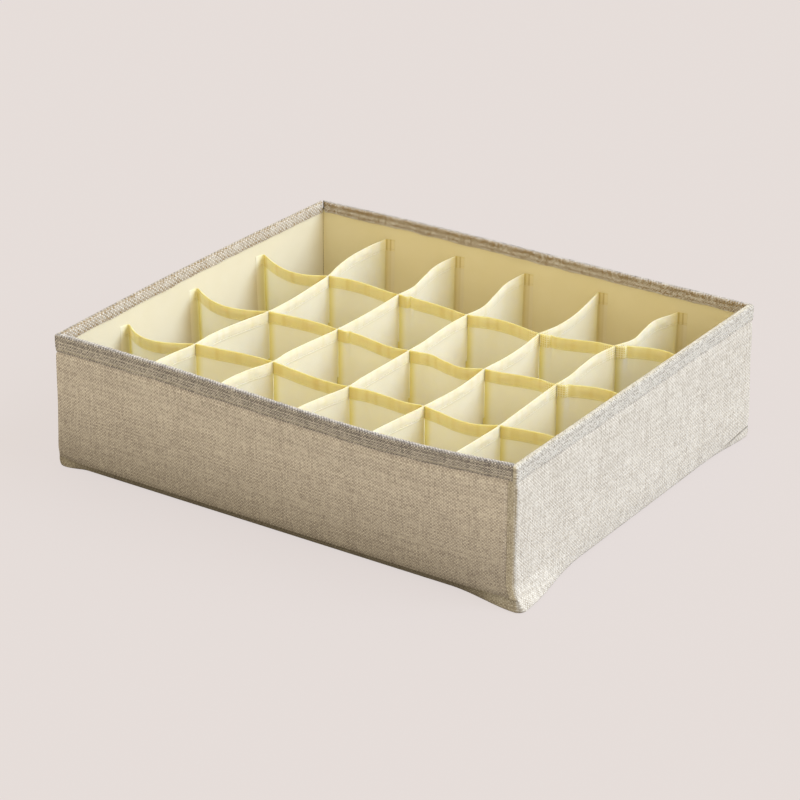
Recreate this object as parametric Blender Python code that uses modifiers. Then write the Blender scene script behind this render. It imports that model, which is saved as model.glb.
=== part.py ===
"""A low fabric drawer organizer: board-stiffened cloth walls round 24 cloth cells.

Metres, +Z up. X runs along the long front wall and Y from the front wall to the
back one. The origin lies under the middle of the outermost faces, on the surface
that the organizer stands on.
"""

import math

import bmesh
import bpy
from mathutils import Vector

# Driving dimensions
WIDTH = 0.350
DEPTH = 0.300
HEIGHT = 0.095
LONG_DIVIDER_COUNT = 3
CROSS_DIVIDER_COUNT = 5

# Cloth, board and the room between two touching pieces
CLEARANCE = 0.0003
OUTER_CLOTH = 0.0005
WALL_BOARD = 0.0012
BASE_BOARD = 0.0020
LINING_CLOTH = 0.0004
BINDING_CLOTH = 0.0005
DIVIDER_CLOTH = 0.0005
HEM_THICKNESS = 0.0012

# Outer cloth: the seam to the base, the corners, and the strips that wrap them
SEAM_HEIGHT = 0.0075
CORNER_RADIUS = 0.0015
CORNER_WRAP = 0.006
WALL_COLUMN_COUNT = 12
WALL_ROW_COUNT = 2
CORNER_STEP_COUNT = 3

# The soft walls' rims belly outwards and hang a little, most at the peak's share
# of the wall's length, which runs anticlockwise as seen from above
RIM_BULGE = {"front": 0.005, "right": 0.0, "back": 0.0025, "left": 0.0025}
RIM_SAG = {"front": 0.0028, "right": 0.0, "back": 0.0, "left": 0.0}
RIM_PEAK_SHARES = {"front": 0.71, "right": 0.5, "back": 0.71, "left": 0.5}

# How far the walls lean out at the bottom of each corner, as (x, y). A corner goes
# by the side that starts there.
CORNER_LEAN = {"front": (-0.0025, 0.0), "right": (0.0, 0.0), "back": (0.002, 0.0), "left": (0.0, 0.0)}
LEAN_REACH = 0.060

# Rim binding
BINDING_HEIGHT = 0.012
BINDING_INNER_HEIGHT = 0.0075
BINDING_ROUND = 0.0006

# Base cloth: rolled under along the walls, and pushed out into a foot at each
# corner. The feet reach along a wall from its start, and back from its end.
CURL_REACH = 0.007
SIDE_CURL_SHARES = {"front": 1.0, "right": 0.4, "back": 1.0, "left": 1.0}
FOOT_CORNER_RADIUS = 0.0035
FOOT_REACHES = {
    "front": (0.018, 0.030),
    "right": (0.080, 0.045),
    "back": (0.035, 0.035),
    "left": (0.030, 0.030),
}
FOOT_PUSH = {
    "front": (-0.0008, 0.0),
    "right": (0.0085, -0.0020),
    "back": (0.0010, 0.0),
    "left": (0.0, 0.0),
}
CURL_DEPTH_SHARES = (0.0, 0.08, 0.25, 0.55, 1.0)
CURL_HEIGHT_SHARES = (1.0, 0.70, 0.35, 0.10, 0.0)
FOOT_DEPTH_SHARES = (0.0, -0.05, -0.05, 0.0, 0.25)
FOOT_HEIGHT_SHARES = (1.0, 0.70, 0.35, 0.08, 0.0)
FOOT_PUSH_SHARES = (0.0, 0.30, 0.75, 1.0, 0.90)
FOOT_STATION_SHARES = (0.0, 0.33, 0.67, 1.0)
BASE_BOARD_RADIUS = 0.004

# Dividers: cloth strips with a folded hem on top and a sewn tab at each end
DIVIDER_DROP = 0.017
HEM_HEIGHT = 0.0085
HEM_STEP = 0.0004
TAB_WIDTH = 0.007
TAB_RADIUS = 0.0012
TAB_STEP_COUNT = 3
SPAN_SAG = 0.0015
QUARTER_SPAN_STEP_COUNT = 2
SLOT_HEIGHT_SHARE = 0.5
BOTTOM_SLACK_SHARE = 0.6
SLOT_OVERRUN = 0.006

# How the slack strips lie, in shares of a cell's length along the strip. A row
# is one divider, and its values go from wall to wall: long dividers from the
# left, listed from the back, and cross dividers from the back, listed from the
# left. A bow is the sideways reach at mid cell, and a skew makes an S of it.
LONG_BOW_SHARES = (
    (-0.15, 0.10, 0.08, 0.14, 0.05, 0.24),
    (-0.16, 0.09, 0.03, 0.00, 0.09, 0.22),
    (-0.16, 0.08, 0.00, 0.05, -0.07, 0.12),
)
LONG_SKEW_SHARES = (
    (0.00, 0.02, 0.00, 0.02, 0.00, 0.00),
    (-0.02, 0.00, 0.03, 0.07, 0.00, 0.00),
    (-0.03, 0.00, 0.00, 0.03, 0.03, 0.00),
)
CROSS_BOW_SHARES = (
    (-0.09, 0.00, -0.07, -0.08),
    (-0.03, -0.01, -0.05, -0.12),
    (-0.01, -0.03, -0.03, -0.07),
    (0.05, 0.01, 0.01, -0.05),
    (-0.03, -0.04, -0.02, -0.02),
)
CROSS_SKEW_SHARES = (
    (0.00, 0.00, 0.00, 0.00),
    (-0.03, 0.00, 0.00, 0.00),
    (-0.03, -0.01, 0.00, 0.00),
    (0.00, 0.00, 0.00, 0.00),
    (-0.05, -0.02, 0.00, 0.00),
)

# How far each crossing has drifted from the even grid, in shares of a cell, and
# how far its top lies under the tops at the walls, in shares of the strips' height
CROSSING_DRIFT_SHARES = (
    ((-0.02, -0.01), (0.00, 0.00), (-0.02, -0.01), (-0.02, -0.01), (-0.01, -0.01)),
    ((0.00, 0.00), (0.00, 0.00), (0.00, 0.00), (0.01, 0.01), (-0.03, -0.01)),
    ((-0.07, -0.04), (0.00, 0.00), (0.03, 0.01), (0.03, 0.02), (0.01, 0.01)),
)
CROSSING_DROP_SHARES = (
    (0.04, 0.05, 0.07, 0.07, 0.00),
    (0.06, 0.05, 0.07, 0.06, 0.01),
    (0.03, 0.01, 0.05, 0.04, 0.02),
)
# Drift of the ends on the left wall and on the back wall, in shares of a cell
LONG_END_DRIFT_SHARES = (0.00, -0.04, -0.08)
CROSS_END_DRIFT_SHARES = (-0.05, -0.02, -0.02, 0.03, 0.11)

# Depths of the wall's layers, measured inwards from the binding's outer face
OUTER_FACE = BINDING_CLOTH + CLEARANCE
OUTER_MIDDLE = OUTER_FACE + OUTER_CLOTH / 2
BOARD_FACE = OUTER_FACE + OUTER_CLOTH + CLEARANCE
BOARD_MIDDLE = BOARD_FACE + WALL_BOARD / 2
LINING_OUTSIDE = BOARD_FACE + WALL_BOARD + CLEARANCE
LINING_MIDDLE = LINING_OUTSIDE + LINING_CLOTH / 2
LINING_FACE = LINING_OUTSIDE + LINING_CLOTH
RIM_THICKNESS = LINING_FACE + CLEARANCE + BINDING_CLOTH
WALL_TOP = HEIGHT - BINDING_CLOTH - CLEARANCE

# Heights of the base's layers
BASE_BOARD_BOTTOM = OUTER_CLOTH + CLEARANCE
FLOOR_BOTTOM = BASE_BOARD_BOTTOM + BASE_BOARD + CLEARANCE
FLOOR_TOP = FLOOR_BOTTOM + LINING_CLOTH
DIVIDER_BOTTOM = FLOOR_TOP + CLEARANCE
DIVIDER_TOP = HEIGHT - DIVIDER_DROP

# The organizer's middle, so that the origin lies under its outermost faces
RIGHT_FOOT_REACH = FOOT_PUSH["right"][0] - OUTER_FACE
MIDDLE = Vector((
    (RIM_BULGE["left"] - RIGHT_FOOT_REACH) / 2,
    (RIM_BULGE["front"] - RIM_BULGE["back"]) / 2,
    0,
))

SIDES = ("front", "right", "back", "left")
SIDE_LENGTHS = {"front": WIDTH, "right": DEPTH, "back": WIDTH, "left": DEPTH}
SIDE_STARTS = {
    "front": MIDDLE + Vector((-WIDTH / 2, -DEPTH / 2, 0)),
    "right": MIDDLE + Vector((WIDTH / 2, -DEPTH / 2, 0)),
    "back": MIDDLE + Vector((WIDTH / 2, DEPTH / 2, 0)),
    "left": MIDDLE + Vector((-WIDTH / 2, DEPTH / 2, 0)),
}
SIDE_ALONG = {
    "front": Vector((1, 0, 0)),
    "right": Vector((0, 1, 0)),
    "back": Vector((-1, 0, 0)),
    "left": Vector((0, -1, 0)),
}
UP = Vector((0, 0, 1))


def lerp(a, b, share):
    return a + (b - a) * share


def clamp_share(value):
    return max(0.0, min(1.0, value))


def clear_scene():
    for thing in list(bpy.data.objects):
        bpy.data.objects.remove(thing, do_unlink=True)


def make_collection(name):
    collection = bpy.data.collections.new(name)
    bpy.context.scene.collection.children.link(collection)
    return collection


def make_material(name, colour, roughness):
    material = bpy.data.materials.new(name)
    material.use_nodes = True
    shader = material.node_tree.nodes["Principled BSDF"]
    shader.inputs["Base Color"].default_value = (*colour, 1)
    shader.inputs["Roughness"].default_value = roughness
    shader.inputs["Metallic"].default_value = 0
    return material


def add_object(name, bm, material, collection):
    mesh = bpy.data.meshes.new(name)
    bm.to_mesh(mesh)
    bm.free()
    mesh.materials.append(material)
    thing = bpy.data.objects.new(name, mesh)
    collection.objects.link(thing)
    return thing


def inward(side):
    return UP.cross(SIDE_ALONG[side])


def side_after(side):
    return SIDES[(SIDES.index(side) + 1) % len(SIDES)]


def corner_weight(distance, reach):
    """1 at a corner, falling smoothly to 0 where the corner's reach ends."""
    return (1 + math.cos(math.pi * clamp_share(distance / reach))) / 2


def corner_lean(side, along, height):
    """How far a wall is carried off by the lean of the corners at its ends."""
    start = corner_weight(along, LEAN_REACH)
    end = corner_weight(SIDE_LENGTHS[side] - along, LEAN_REACH)
    lean = Vector(CORNER_LEAN[side]) * start + Vector(CORNER_LEAN[side_after(side)]) * end
    return lean.to_3d() * (1 - clamp_share(height / HEIGHT))


def wall_point(side, along, depth, height):
    """A point of a wall, with the lean, bulge and sag of its soft cloth."""
    length = SIDE_LENGTHS[side]
    share = clamp_share((along - CORNER_WRAP) / (length - 2 * CORNER_WRAP))
    skew = math.log(0.5) / math.log(RIM_PEAK_SHARES[side])
    lift = clamp_share((height - OUTER_CLOTH) / (HEIGHT - OUTER_CLOTH))
    swell = math.sin(math.pi * share ** skew) * lift
    return (
        SIDE_STARTS[side]
        + SIDE_ALONG[side] * along
        + inward(side) * (depth - RIM_BULGE[side] * swell)
        + UP * (height - RIM_SAG[side] * swell)
        + corner_lean(side, along, height)
    )


def cloth_grid(columns, rows, place):
    """A grid bent into place by a function of its column and row numbers."""
    bm = bmesh.new()
    bmesh.ops.create_grid(bm, x_segments=columns, y_segments=rows, size=1)
    for vertex in bm.verts:
        column = round((vertex.co.x + 1) / 2 * columns)
        row = round((vertex.co.y + 1) / 2 * rows)
        vertex.co = place(column, row)
    return bm


def thicken(thing, thickness):
    """Give an open sheet its thickness, half of it to each side."""
    solidify = thing.modifiers.new("thickness", "SOLIDIFY")
    solidify.thickness = thickness
    solidify.offset = 0
    solidify.use_even_offset = True
    return solidify


def wall_layer(name, columns, place, material, collection):
    """An open sheet of a wall. All layers are split alike, so that they nest."""
    bm = cloth_grid(columns, WALL_ROW_COUNT, place)
    bmesh.ops.triangulate(bm, faces=bm.faces, quad_method="FIXED")
    return add_object(name, bm, material, collection)


def wall_sheet(name, side, depth, thickness, setback, bottom, material, collection):
    """A flat layer of one wall, from near one corner to near the other."""
    length = SIDE_LENGTHS[side]

    def place(column, row):
        along = lerp(setback, length - setback, column / WALL_COLUMN_COUNT)
        return wall_point(side, along, depth, lerp(bottom, WALL_TOP, row / WALL_ROW_COUNT))

    thing = wall_layer(name, WALL_COLUMN_COUNT, place, material, collection)
    thicken(thing, thickness)
    return thing


def corner_path(before, after):
    """Plan points, as (side, along, depth), round the corner between two sides."""
    radius = CORNER_RADIUS - OUTER_CLOTH / 2
    centre = OUTER_FACE + CORNER_RADIUS
    points = []
    for step in range(CORNER_STEP_COUNT + 1):
        angle = math.pi / 2 * step / CORNER_STEP_COUNT
        if step <= CORNER_STEP_COUNT / 2:
            along = SIDE_LENGTHS[before] - centre + radius * math.sin(angle)
            points.append((before, along, centre - radius * math.cos(angle)))
        else:
            along = centre - radius * math.cos(angle)
            points.append((after, along, centre - radius * math.sin(angle)))
    return points


def outer_panel(name, side, wraps_start, wraps_end, material, collection):
    """A panel of the outer cloth, which may wrap round the corners at its ends."""
    index = SIDES.index(side)
    before = SIDES[index - 1]
    after = side_after(side)
    length = SIDE_LENGTHS[side]
    stop = CORNER_WRAP + CLEARANCE
    start_along = OUTER_FACE + CORNER_RADIUS if wraps_start else stop
    end_along = OUTER_FACE + CORNER_RADIUS if wraps_end else stop
    path = []
    if wraps_start:
        path.append((before, SIDE_LENGTHS[before] - CORNER_WRAP, OUTER_MIDDLE))
        path.extend(corner_path(before, side)[:-1])
    for column in range(WALL_COLUMN_COUNT + 1):
        along = lerp(start_along, length - end_along, column / WALL_COLUMN_COUNT)
        path.append((side, along, OUTER_MIDDLE))
    if wraps_end:
        path.extend(corner_path(side, after)[1:])
        path.append((after, CORNER_WRAP, OUTER_MIDDLE))

    def place(column, row):
        station_side, along, depth = path[column]
        height = lerp(SEAM_HEIGHT, WALL_TOP, row / WALL_ROW_COUNT)
        return wall_point(station_side, along, depth, height)

    thing = wall_layer(name, len(path) - 1, place, material, collection)
    thicken(thing, OUTER_CLOTH)
    return thing


def binding_section():
    """The folded binding's middle line, as (depth, height), outer leg first."""
    outer = BINDING_CLOTH / 2
    inner = RIM_THICKNESS - BINDING_CLOTH / 2
    top = HEIGHT - BINDING_CLOTH / 2
    points = [(outer, HEIGHT - BINDING_HEIGHT)]
    for step in range(CORNER_STEP_COUNT + 1):
        angle = math.pi / 2 * step / CORNER_STEP_COUNT
        depth = outer + BINDING_ROUND * (1 - math.cos(angle))
        points.append((depth, top - BINDING_ROUND * (1 - math.sin(angle))))
    for step in range(CORNER_STEP_COUNT + 1):
        angle = math.pi / 2 * step / CORNER_STEP_COUNT
        depth = inner - BINDING_ROUND * (1 - math.sin(angle))
        points.append((depth, top - BINDING_ROUND * (1 - math.cos(angle))))
    points.append((inner, HEIGHT - BINDING_INNER_HEIGHT))
    return points


def rim_binding(name, side, material, collection):
    """Tape folded over one wall's top edge, mitred where it meets the next tape."""
    section = binding_section()
    length = SIDE_LENGTHS[side]

    def place(column, row):
        depth, height = section[row]
        setback = depth + BINDING_CLOTH / 2 + CLEARANCE
        along = lerp(setback, length - setback, column / WALL_COLUMN_COUNT)
        return wall_point(side, along, depth, height)

    bm = cloth_grid(WALL_COLUMN_COUNT, len(section) - 1, place)
    thing = add_object(name, bm, material, collection)
    thicken(thing, BINDING_CLOTH)
    return thing


def base_section(side, level, weight):
    """Depth and height of the base cloth at one level of its rolled edge."""
    curl_share = CURL_DEPTH_SHARES[level] * SIDE_CURL_SHARES[side]
    depth_share = lerp(curl_share, FOOT_DEPTH_SHARES[level], weight)
    height_share = lerp(CURL_HEIGHT_SHARES[level], FOOT_HEIGHT_SHARES[level], weight)
    low = OUTER_CLOTH / 2
    high = SEAM_HEIGHT - CLEARANCE
    return OUTER_MIDDLE + CURL_REACH * depth_share, lerp(low, high, height_share)


def foot_push(side, start, end, level):
    """How far the feet push the base cloth out, by the weights of a side's ends."""
    push = Vector(FOOT_PUSH[side]) * start + Vector(FOOT_PUSH[side_after(side)]) * end
    return push.to_3d() * FOOT_PUSH_SHARES[level]


def base_stations(side):
    """(along, start weight, end weight) of the rolled edge's stations on one side."""
    length = SIDE_LENGTHS[side]
    start_reach, end_reach = FOOT_REACHES[side]
    alongs = [share * start_reach for share in FOOT_STATION_SHARES]
    alongs.append(length / 2)
    alongs.extend(length - share * end_reach for share in reversed(FOOT_STATION_SHARES))
    stations = []
    for along in alongs:
        start = corner_weight(along, start_reach)
        end = corner_weight(length - along, end_reach)
        stations.append((along, start, end))
    return stations


def base_ring(level):
    """One ring of the base cloth, right round the organizer."""
    last = len(CURL_DEPTH_SHARES) - 1
    start_radius = CORNER_RADIUS - OUTER_CLOTH / 2
    radius = lerp(start_radius, FOOT_CORNER_RADIUS, level / last)
    ring = []
    for side in SIDES:
        length = SIDE_LENGTHS[side]
        corner_depth, corner_height = base_section(side, level, 1)
        inset = corner_depth + radius
        for along, start, end in base_stations(side):
            depth, height = base_section(side, level, max(start, end))
            place = wall_point(side, lerp(inset, length - inset, along / length), depth, height)
            ring.append(place + foot_push(side, start, end, level))
        for step in range(1, CORNER_STEP_COUNT):
            angle = math.pi / 2 * step / CORNER_STEP_COUNT
            along = length - inset + radius * math.sin(angle)
            depth = inset - radius * math.cos(angle)
            place = wall_point(side, along, depth, corner_height)
            ring.append(place + foot_push(side, 0, 1, level))
    return ring


def outer_base_panel(material, collection):
    """The base cloth: a flat middle with a rolled edge up to the wall seam."""
    bm = bmesh.new()
    rings = []
    for level in range(len(CURL_DEPTH_SHARES)):
        rings.append([bm.verts.new(point) for point in base_ring(level)])
    for upper, lower in zip(rings, rings[1:]):
        for index in range(len(upper)):
            following = (index + 1) % len(upper)
            bm.faces.new((upper[index], lower[index], lower[following], upper[following]))
    bm.faces.new(rings[-1])
    bmesh.ops.recalc_face_normals(bm, faces=bm.faces)
    thing = add_object("outer_base_panel", bm, material, collection)
    thicken(thing, OUTER_CLOTH)
    return thing


def base_board(material, collection):
    """The board that keeps the floor flat, with its corners cut round."""
    inset = OUTER_MIDDLE + CURL_REACH + CLEARANCE
    bm = bmesh.new()
    bmesh.ops.create_cube(bm, size=1)
    size = Vector((WIDTH - 2 * inset, DEPTH - 2 * inset, BASE_BOARD))
    bmesh.ops.scale(bm, vec=size, verts=bm.verts)
    upright = [edge for edge in bm.edges if abs((edge.verts[0].co - edge.verts[1].co).z) > 0]
    bmesh.ops.bevel(
        bm, geom=upright, offset=BASE_BOARD_RADIUS, segments=CORNER_STEP_COUNT, affect="EDGES",
        profile=0.5,
    )
    thing = add_object("base_stiffener_board", bm, material, collection)
    thing.location = MIDDLE + UP * (BASE_BOARD_BOTTOM + BASE_BOARD / 2)
    return thing


def lining_floor(material, collection):
    """The lining cloth over the base board."""
    inset = LINING_FACE + CLEARANCE
    size = Vector((WIDTH - 2 * inset, DEPTH - 2 * inset, LINING_CLOTH))
    bm = bmesh.new()
    bmesh.ops.create_cube(bm, size=1)
    bmesh.ops.scale(bm, vec=size, verts=bm.verts)
    thing = add_object("lining_floor", bm, material, collection)
    thing.location = MIDDLE + UP * (FLOOR_BOTTOM + LINING_CLOTH / 2)
    return thing


def cell_length(strip_runs_along_x):
    """Length of a cell along a strip, from the clear room between the linings."""
    if strip_runs_along_x:
        return (WIDTH - 2 * LINING_FACE) / (CROSS_DIVIDER_COUNT + 1)
    return (DEPTH - 2 * LINING_FACE) / (LONG_DIVIDER_COUNT + 1)


def share_in(table, row, column=None):
    """A table's value, repeated when there are more strips or cells than values."""
    values = table[row % len(table)]
    if column is None:
        return values
    return values[column % len(values)]


def grid_point(row, column):
    """The even grid's point on long divider line `row` and cross divider line `column`.

    Rows count from the back wall and columns from the left wall, and both start
    with 0 on the wall's lining.
    """
    x = -WIDTH / 2 + LINING_FACE + cell_length(True) * column
    y = DEPTH / 2 - LINING_FACE - cell_length(False) * row
    return MIDDLE + Vector((x, y, 0))


def crossing_point(row, column):
    """Where long divider `row` crosses cross divider `column`, counted from 1."""
    drift = share_in(CROSSING_DRIFT_SHARES, row - 1, column - 1)
    shift = Vector((drift[0] * cell_length(True), drift[1] * cell_length(False), 0))
    return grid_point(row, column) + shift


def crossing_drop(row, column):
    """How far the strips' tops lie under the tops at the walls."""
    share = share_in(CROSSING_DROP_SHARES, row - 1, column - 1)
    return share * (DIVIDER_TOP - DIVIDER_BOTTOM)


def tab_depth():
    """Depth of the middle of a sewn tab, flat against the lining."""
    return LINING_FACE + CLEARANCE + HEM_THICKNESS / 2


def wall_end(side, place, tab_side, height):
    """Plan points of a strip's end, from the bend to the tip of its sewn tab."""
    length = SIDE_LENGTHS[side]
    along = (place - SIDE_STARTS[side]).dot(SIDE_ALONG[side])
    points = []
    for step in range(TAB_STEP_COUNT + 1):
        angle = math.pi / 2 * step / TAB_STEP_COUNT
        reach = TAB_RADIUS * (1 - math.cos(angle))
        depth = tab_depth() + TAB_RADIUS * (1 - math.sin(angle))
        points.append(wall_point(side, along + tab_side * reach, depth, height))
    tip = clamp_share((along + tab_side * TAB_WIDTH) / length) * length
    points.append(wall_point(side, tip, tab_depth(), height))
    return [flat(point) for point in points]


def flat(point):
    return Vector((point.x, point.y, 0))


def smooth_line(points, steps):
    """A smooth curve through the points, with as many steps between each two."""
    line = []
    for index in range(len(points) - 1):
        here, there = points[index], points[index + 1]
        before = points[index - 1] if index > 0 else here * 2 - there
        after = points[index + 2] if index + 2 < len(points) else there * 2 - here
        for step in range(steps):
            t = step / steps
            line.append(0.5 * (
                2 * here
                + (there - before) * t
                + (2 * before - 5 * here + 4 * there - after) * t ** 2
                + (3 * here - before - 3 * there + after) * t ** 3
            ))
    line.append(points[-1])
    return line


def slack_line(nodes, bows, skews, sideways, slack_share):
    """The plan of a slack strip through its nodes, with its bows and skews."""
    controls = []
    for index in range(len(nodes) - 1):
        bow = bows[index] * slack_share
        skew = skews[index] * slack_share
        for quarter in range(4):
            share = quarter / 4
            reach = bow * math.sin(math.pi * share) + skew * math.sin(2 * math.pi * share)
            controls.append(lerp(nodes[index], nodes[index + 1], share) + sideways * reach)
    controls.append(nodes[-1])
    return smooth_line(controls, QUARTER_SPAN_STEP_COUNT)


def divider_layout(kind, number):
    """Everything that tells one divider from another."""
    if kind == "long":
        count = CROSS_DIVIDER_COUNT
        ends = ("left", "right")
        drift = share_in(LONG_END_DRIFT_SHARES, number - 1) * cell_length(False)
        start = grid_point(number, 0) + Vector((0, drift, 0))
        end = grid_point(number, count + 1)
        tab_sides = (1, -1)
        sideways = Vector((0, 1, 0))
        cells = [(number, column) for column in range(1, count + 1)]
        bow_table, skew_table = LONG_BOW_SHARES, LONG_SKEW_SHARES
    else:
        count = LONG_DIVIDER_COUNT
        ends = ("back", "front")
        drift = share_in(CROSS_END_DRIFT_SHARES, number - 1) * cell_length(True)
        start = grid_point(0, number) + Vector((drift, 0, 0))
        end = grid_point(count + 1, number)
        tab_sides = (-1, 1)
        sideways = Vector((1, 0, 0))
        cells = [(row, number) for row in range(1, count + 1)]
        bow_table, skew_table = CROSS_BOW_SHARES, CROSS_SKEW_SHARES
    length = cell_length(kind == "long")
    bows = [share_in(bow_table, number - 1, cell) * length for cell in range(count + 1)]
    skews = [share_in(skew_table, number - 1, cell) * length for cell in range(count + 1)]
    return ends, (start, end), tab_sides, sideways, cells, bows, skews


def divider_plan(kind, number, height, slack_share):
    """The strip's plan at one height: tab, slack run from wall to wall, tab."""
    ends, places, tab_sides, sideways, cells, bows, skews = divider_layout(kind, number)
    first = wall_end(ends[0], places[0], tab_sides[0], height)
    last = wall_end(ends[1], places[1], tab_sides[1], height)
    nodes = [first[0]] + [flat(crossing_point(*cell)) for cell in cells] + [last[0]]
    run = slack_line(nodes, bows, skews, sideways, slack_share)
    return list(reversed(first[1:])) + run + last[1:]


def divider_tops(kind, number):
    """The height of the strip's top edge at each station of its plan."""
    cells = divider_layout(kind, number)[4]
    drops = [0] + [crossing_drop(*cell) for cell in cells] + [0]
    steps = 4 * QUARTER_SPAN_STEP_COUNT
    tops = [DIVIDER_TOP] * (TAB_STEP_COUNT + 1)
    for index in range(len(drops) - 1):
        for step in range(steps):
            share = step / steps
            ease = (1 - math.cos(math.pi * share)) / 2
            drop = lerp(drops[index], drops[index + 1], ease)
            tops.append(DIVIDER_TOP - drop - SPAN_SAG * math.sin(math.pi * share))
    tops.extend([DIVIDER_TOP] * (TAB_STEP_COUNT + 2))
    return tops


def divider_heading(kind, number, crossing, slack_share):
    """The strip's direction in plan where it passes a crossing, counted from 1."""
    plan = divider_plan(kind, number, DIVIDER_TOP, slack_share)
    index = TAB_STEP_COUNT + 1 + crossing * 4 * QUARTER_SPAN_STEP_COUNT
    return (plan[index + 1] - plan[index - 1]).normalized()


def slot_box(bm, place, heading, width, low, high):
    """A box through the cloth at a crossing, lined up with the strip it lets pass."""
    made = bmesh.ops.create_cube(bm, size=1)["verts"]
    across = UP.cross(heading)
    for vertex in made:
        x, y, z = vertex.co
        vertex.co = (
            place
            + heading * (x * SLOT_OVERRUN)
            + across * (y * width)
            + UP * lerp(low, high, z + 0.5)
        )


def slot_height(row, column):
    """The height where the two strips' slots meet at a crossing."""
    top = DIVIDER_TOP - crossing_drop(row, column)
    return lerp(DIVIDER_BOTTOM, top, SLOT_HEIGHT_SHARE)


def divider_slots(kind, number, material, cutters):
    """The slots of one divider: open at the top on a long one, else at the bottom."""
    bm = bmesh.new()
    for cell in divider_layout(kind, number)[4]:
        row, column = cell
        place = flat(crossing_point(row, column))
        meeting = slot_height(row, column)
        if kind == "long":
            heading = divider_heading("cross", column, row, 1)
            width = HEM_THICKNESS + 2 * CLEARANCE
            slot_box(bm, place, heading, width, meeting, DIVIDER_TOP + SLOT_OVERRUN)
        else:
            heading = divider_heading("long", row, column, BOTTOM_SLACK_SHARE)
            width = DIVIDER_CLOTH + 2 * CLEARANCE
            low = DIVIDER_BOTTOM - SLOT_OVERRUN
            slot_box(bm, place, heading, width, low, meeting + CLEARANCE)
    cutter = add_object(f"{kind}_divider_{number}_slots", bm, material, cutters)
    cutter.hide_render = True
    cutter.display_type = "WIRE"
    return cutter


def divider(kind, number, material, collection, cutters):
    """One strip of the lattice: cloth, thicker folded hem, end tabs and slots."""
    low_plan = divider_plan(kind, number, DIVIDER_BOTTOM, BOTTOM_SLACK_SHARE)
    high_plan = divider_plan(kind, number, DIVIDER_TOP, 1)
    tops = divider_tops(kind, number)
    rows = 3

    def height_at(column, row):
        top = tops[column]
        hem = top - HEM_HEIGHT
        return (DIVIDER_BOTTOM, hem - HEM_STEP, hem, top)[row]

    def place(column, row):
        height = height_at(column, row)
        share = (height - DIVIDER_BOTTOM) / (DIVIDER_TOP - DIVIDER_BOTTOM)
        return lerp(low_plan[column], high_plan[column], share) + UP * height

    columns = len(high_plan) - 1
    bm = cloth_grid(columns, rows, place)
    thing = add_object(f"{kind}_divider_{number}", bm, material, collection)
    hem = thing.vertex_groups.new(name="hem")
    for vertex in thing.data.vertices:
        row = vertex.index // (columns + 1)
        weight = 1 if row >= 2 else DIVIDER_CLOTH / HEM_THICKNESS
        hem.add([vertex.index], weight, "REPLACE")
    solidify = thicken(thing, HEM_THICKNESS)
    solidify.vertex_group = hem.name
    slots = thing.modifiers.new("slots", "BOOLEAN")
    slots.operation = "DIFFERENCE"
    slots.object = divider_slots(kind, number, material, cutters)
    return thing


def build_walls(materials, collection):
    outer, board, lining, tape = materials
    outer_panel("outer_front_panel", "front", True, False, outer, collection)
    outer_panel("outer_right_panel", "right", True, True, outer, collection)
    outer_panel("outer_back_panel", "back", False, True, outer, collection)
    outer_panel("outer_left_panel", "left", False, False, outer, collection)
    board_setback = BOARD_FACE + WALL_BOARD + CLEARANCE
    lining_setback = LINING_FACE + CLEARANCE
    for side in SIDES:
        wall_sheet(
            f"{side}_stiffener_board", side, BOARD_MIDDLE, WALL_BOARD, board_setback,
            SEAM_HEIGHT + CLEARANCE, board, collection,
        )
        wall_sheet(
            f"lining_{side}", side, LINING_MIDDLE, LINING_CLOTH, lining_setback,
            FLOOR_TOP + CLEARANCE, lining, collection,
        )
        rim_binding(f"rim_binding_{side}", side, tape, collection)


def build():
    clear_scene()
    collection = make_collection("fabric_organizer")
    cutters = make_collection("cutters")
    outer = make_material("greige_woven_cloth", (0.47, 0.40, 0.29), 0.9)
    board = make_material("grey_board", (0.35, 0.33, 0.30), 0.85)
    lining = make_material("cream_lining_cloth", (0.85, 0.78, 0.52), 0.8)
    tape = make_material("grey_binding_tape", (0.31, 0.28, 0.24), 0.9)
    strip = make_material("cream_divider_cloth", (0.88, 0.80, 0.50), 0.8)
    build_walls((outer, board, lining, tape), collection)
    outer_base_panel(outer, collection)
    base_board(board, collection)
    lining_floor(lining, collection)
    for number in range(1, LONG_DIVIDER_COUNT + 1):
        divider("long", number, strip, collection, cutters)
    for number in range(1, CROSS_DIVIDER_COUNT + 1):
        divider("cross", number, strip, collection, cutters)


build()
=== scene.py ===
import math

import bmesh
import bpy
import numpy as np
from mathutils import Matrix, Vector


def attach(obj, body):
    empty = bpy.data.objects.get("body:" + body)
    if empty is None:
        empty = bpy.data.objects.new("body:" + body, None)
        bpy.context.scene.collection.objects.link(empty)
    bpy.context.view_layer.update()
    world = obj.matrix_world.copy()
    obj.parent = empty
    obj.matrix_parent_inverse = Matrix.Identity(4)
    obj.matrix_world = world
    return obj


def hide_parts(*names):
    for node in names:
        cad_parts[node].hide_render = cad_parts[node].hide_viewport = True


# The looks of a low fabric drawer organizer: linen-look outer cloth, grey binding
# tape, cream lining, and a lattice of cream cloth dividers with stitched hems.
# Metres, +Z up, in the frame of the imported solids.

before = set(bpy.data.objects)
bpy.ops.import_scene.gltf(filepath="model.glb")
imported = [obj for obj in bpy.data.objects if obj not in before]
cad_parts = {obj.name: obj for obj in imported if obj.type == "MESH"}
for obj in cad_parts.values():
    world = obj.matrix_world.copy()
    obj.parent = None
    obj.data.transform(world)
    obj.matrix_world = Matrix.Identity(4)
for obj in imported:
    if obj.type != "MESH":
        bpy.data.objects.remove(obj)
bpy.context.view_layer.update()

MM = 0.001

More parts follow.
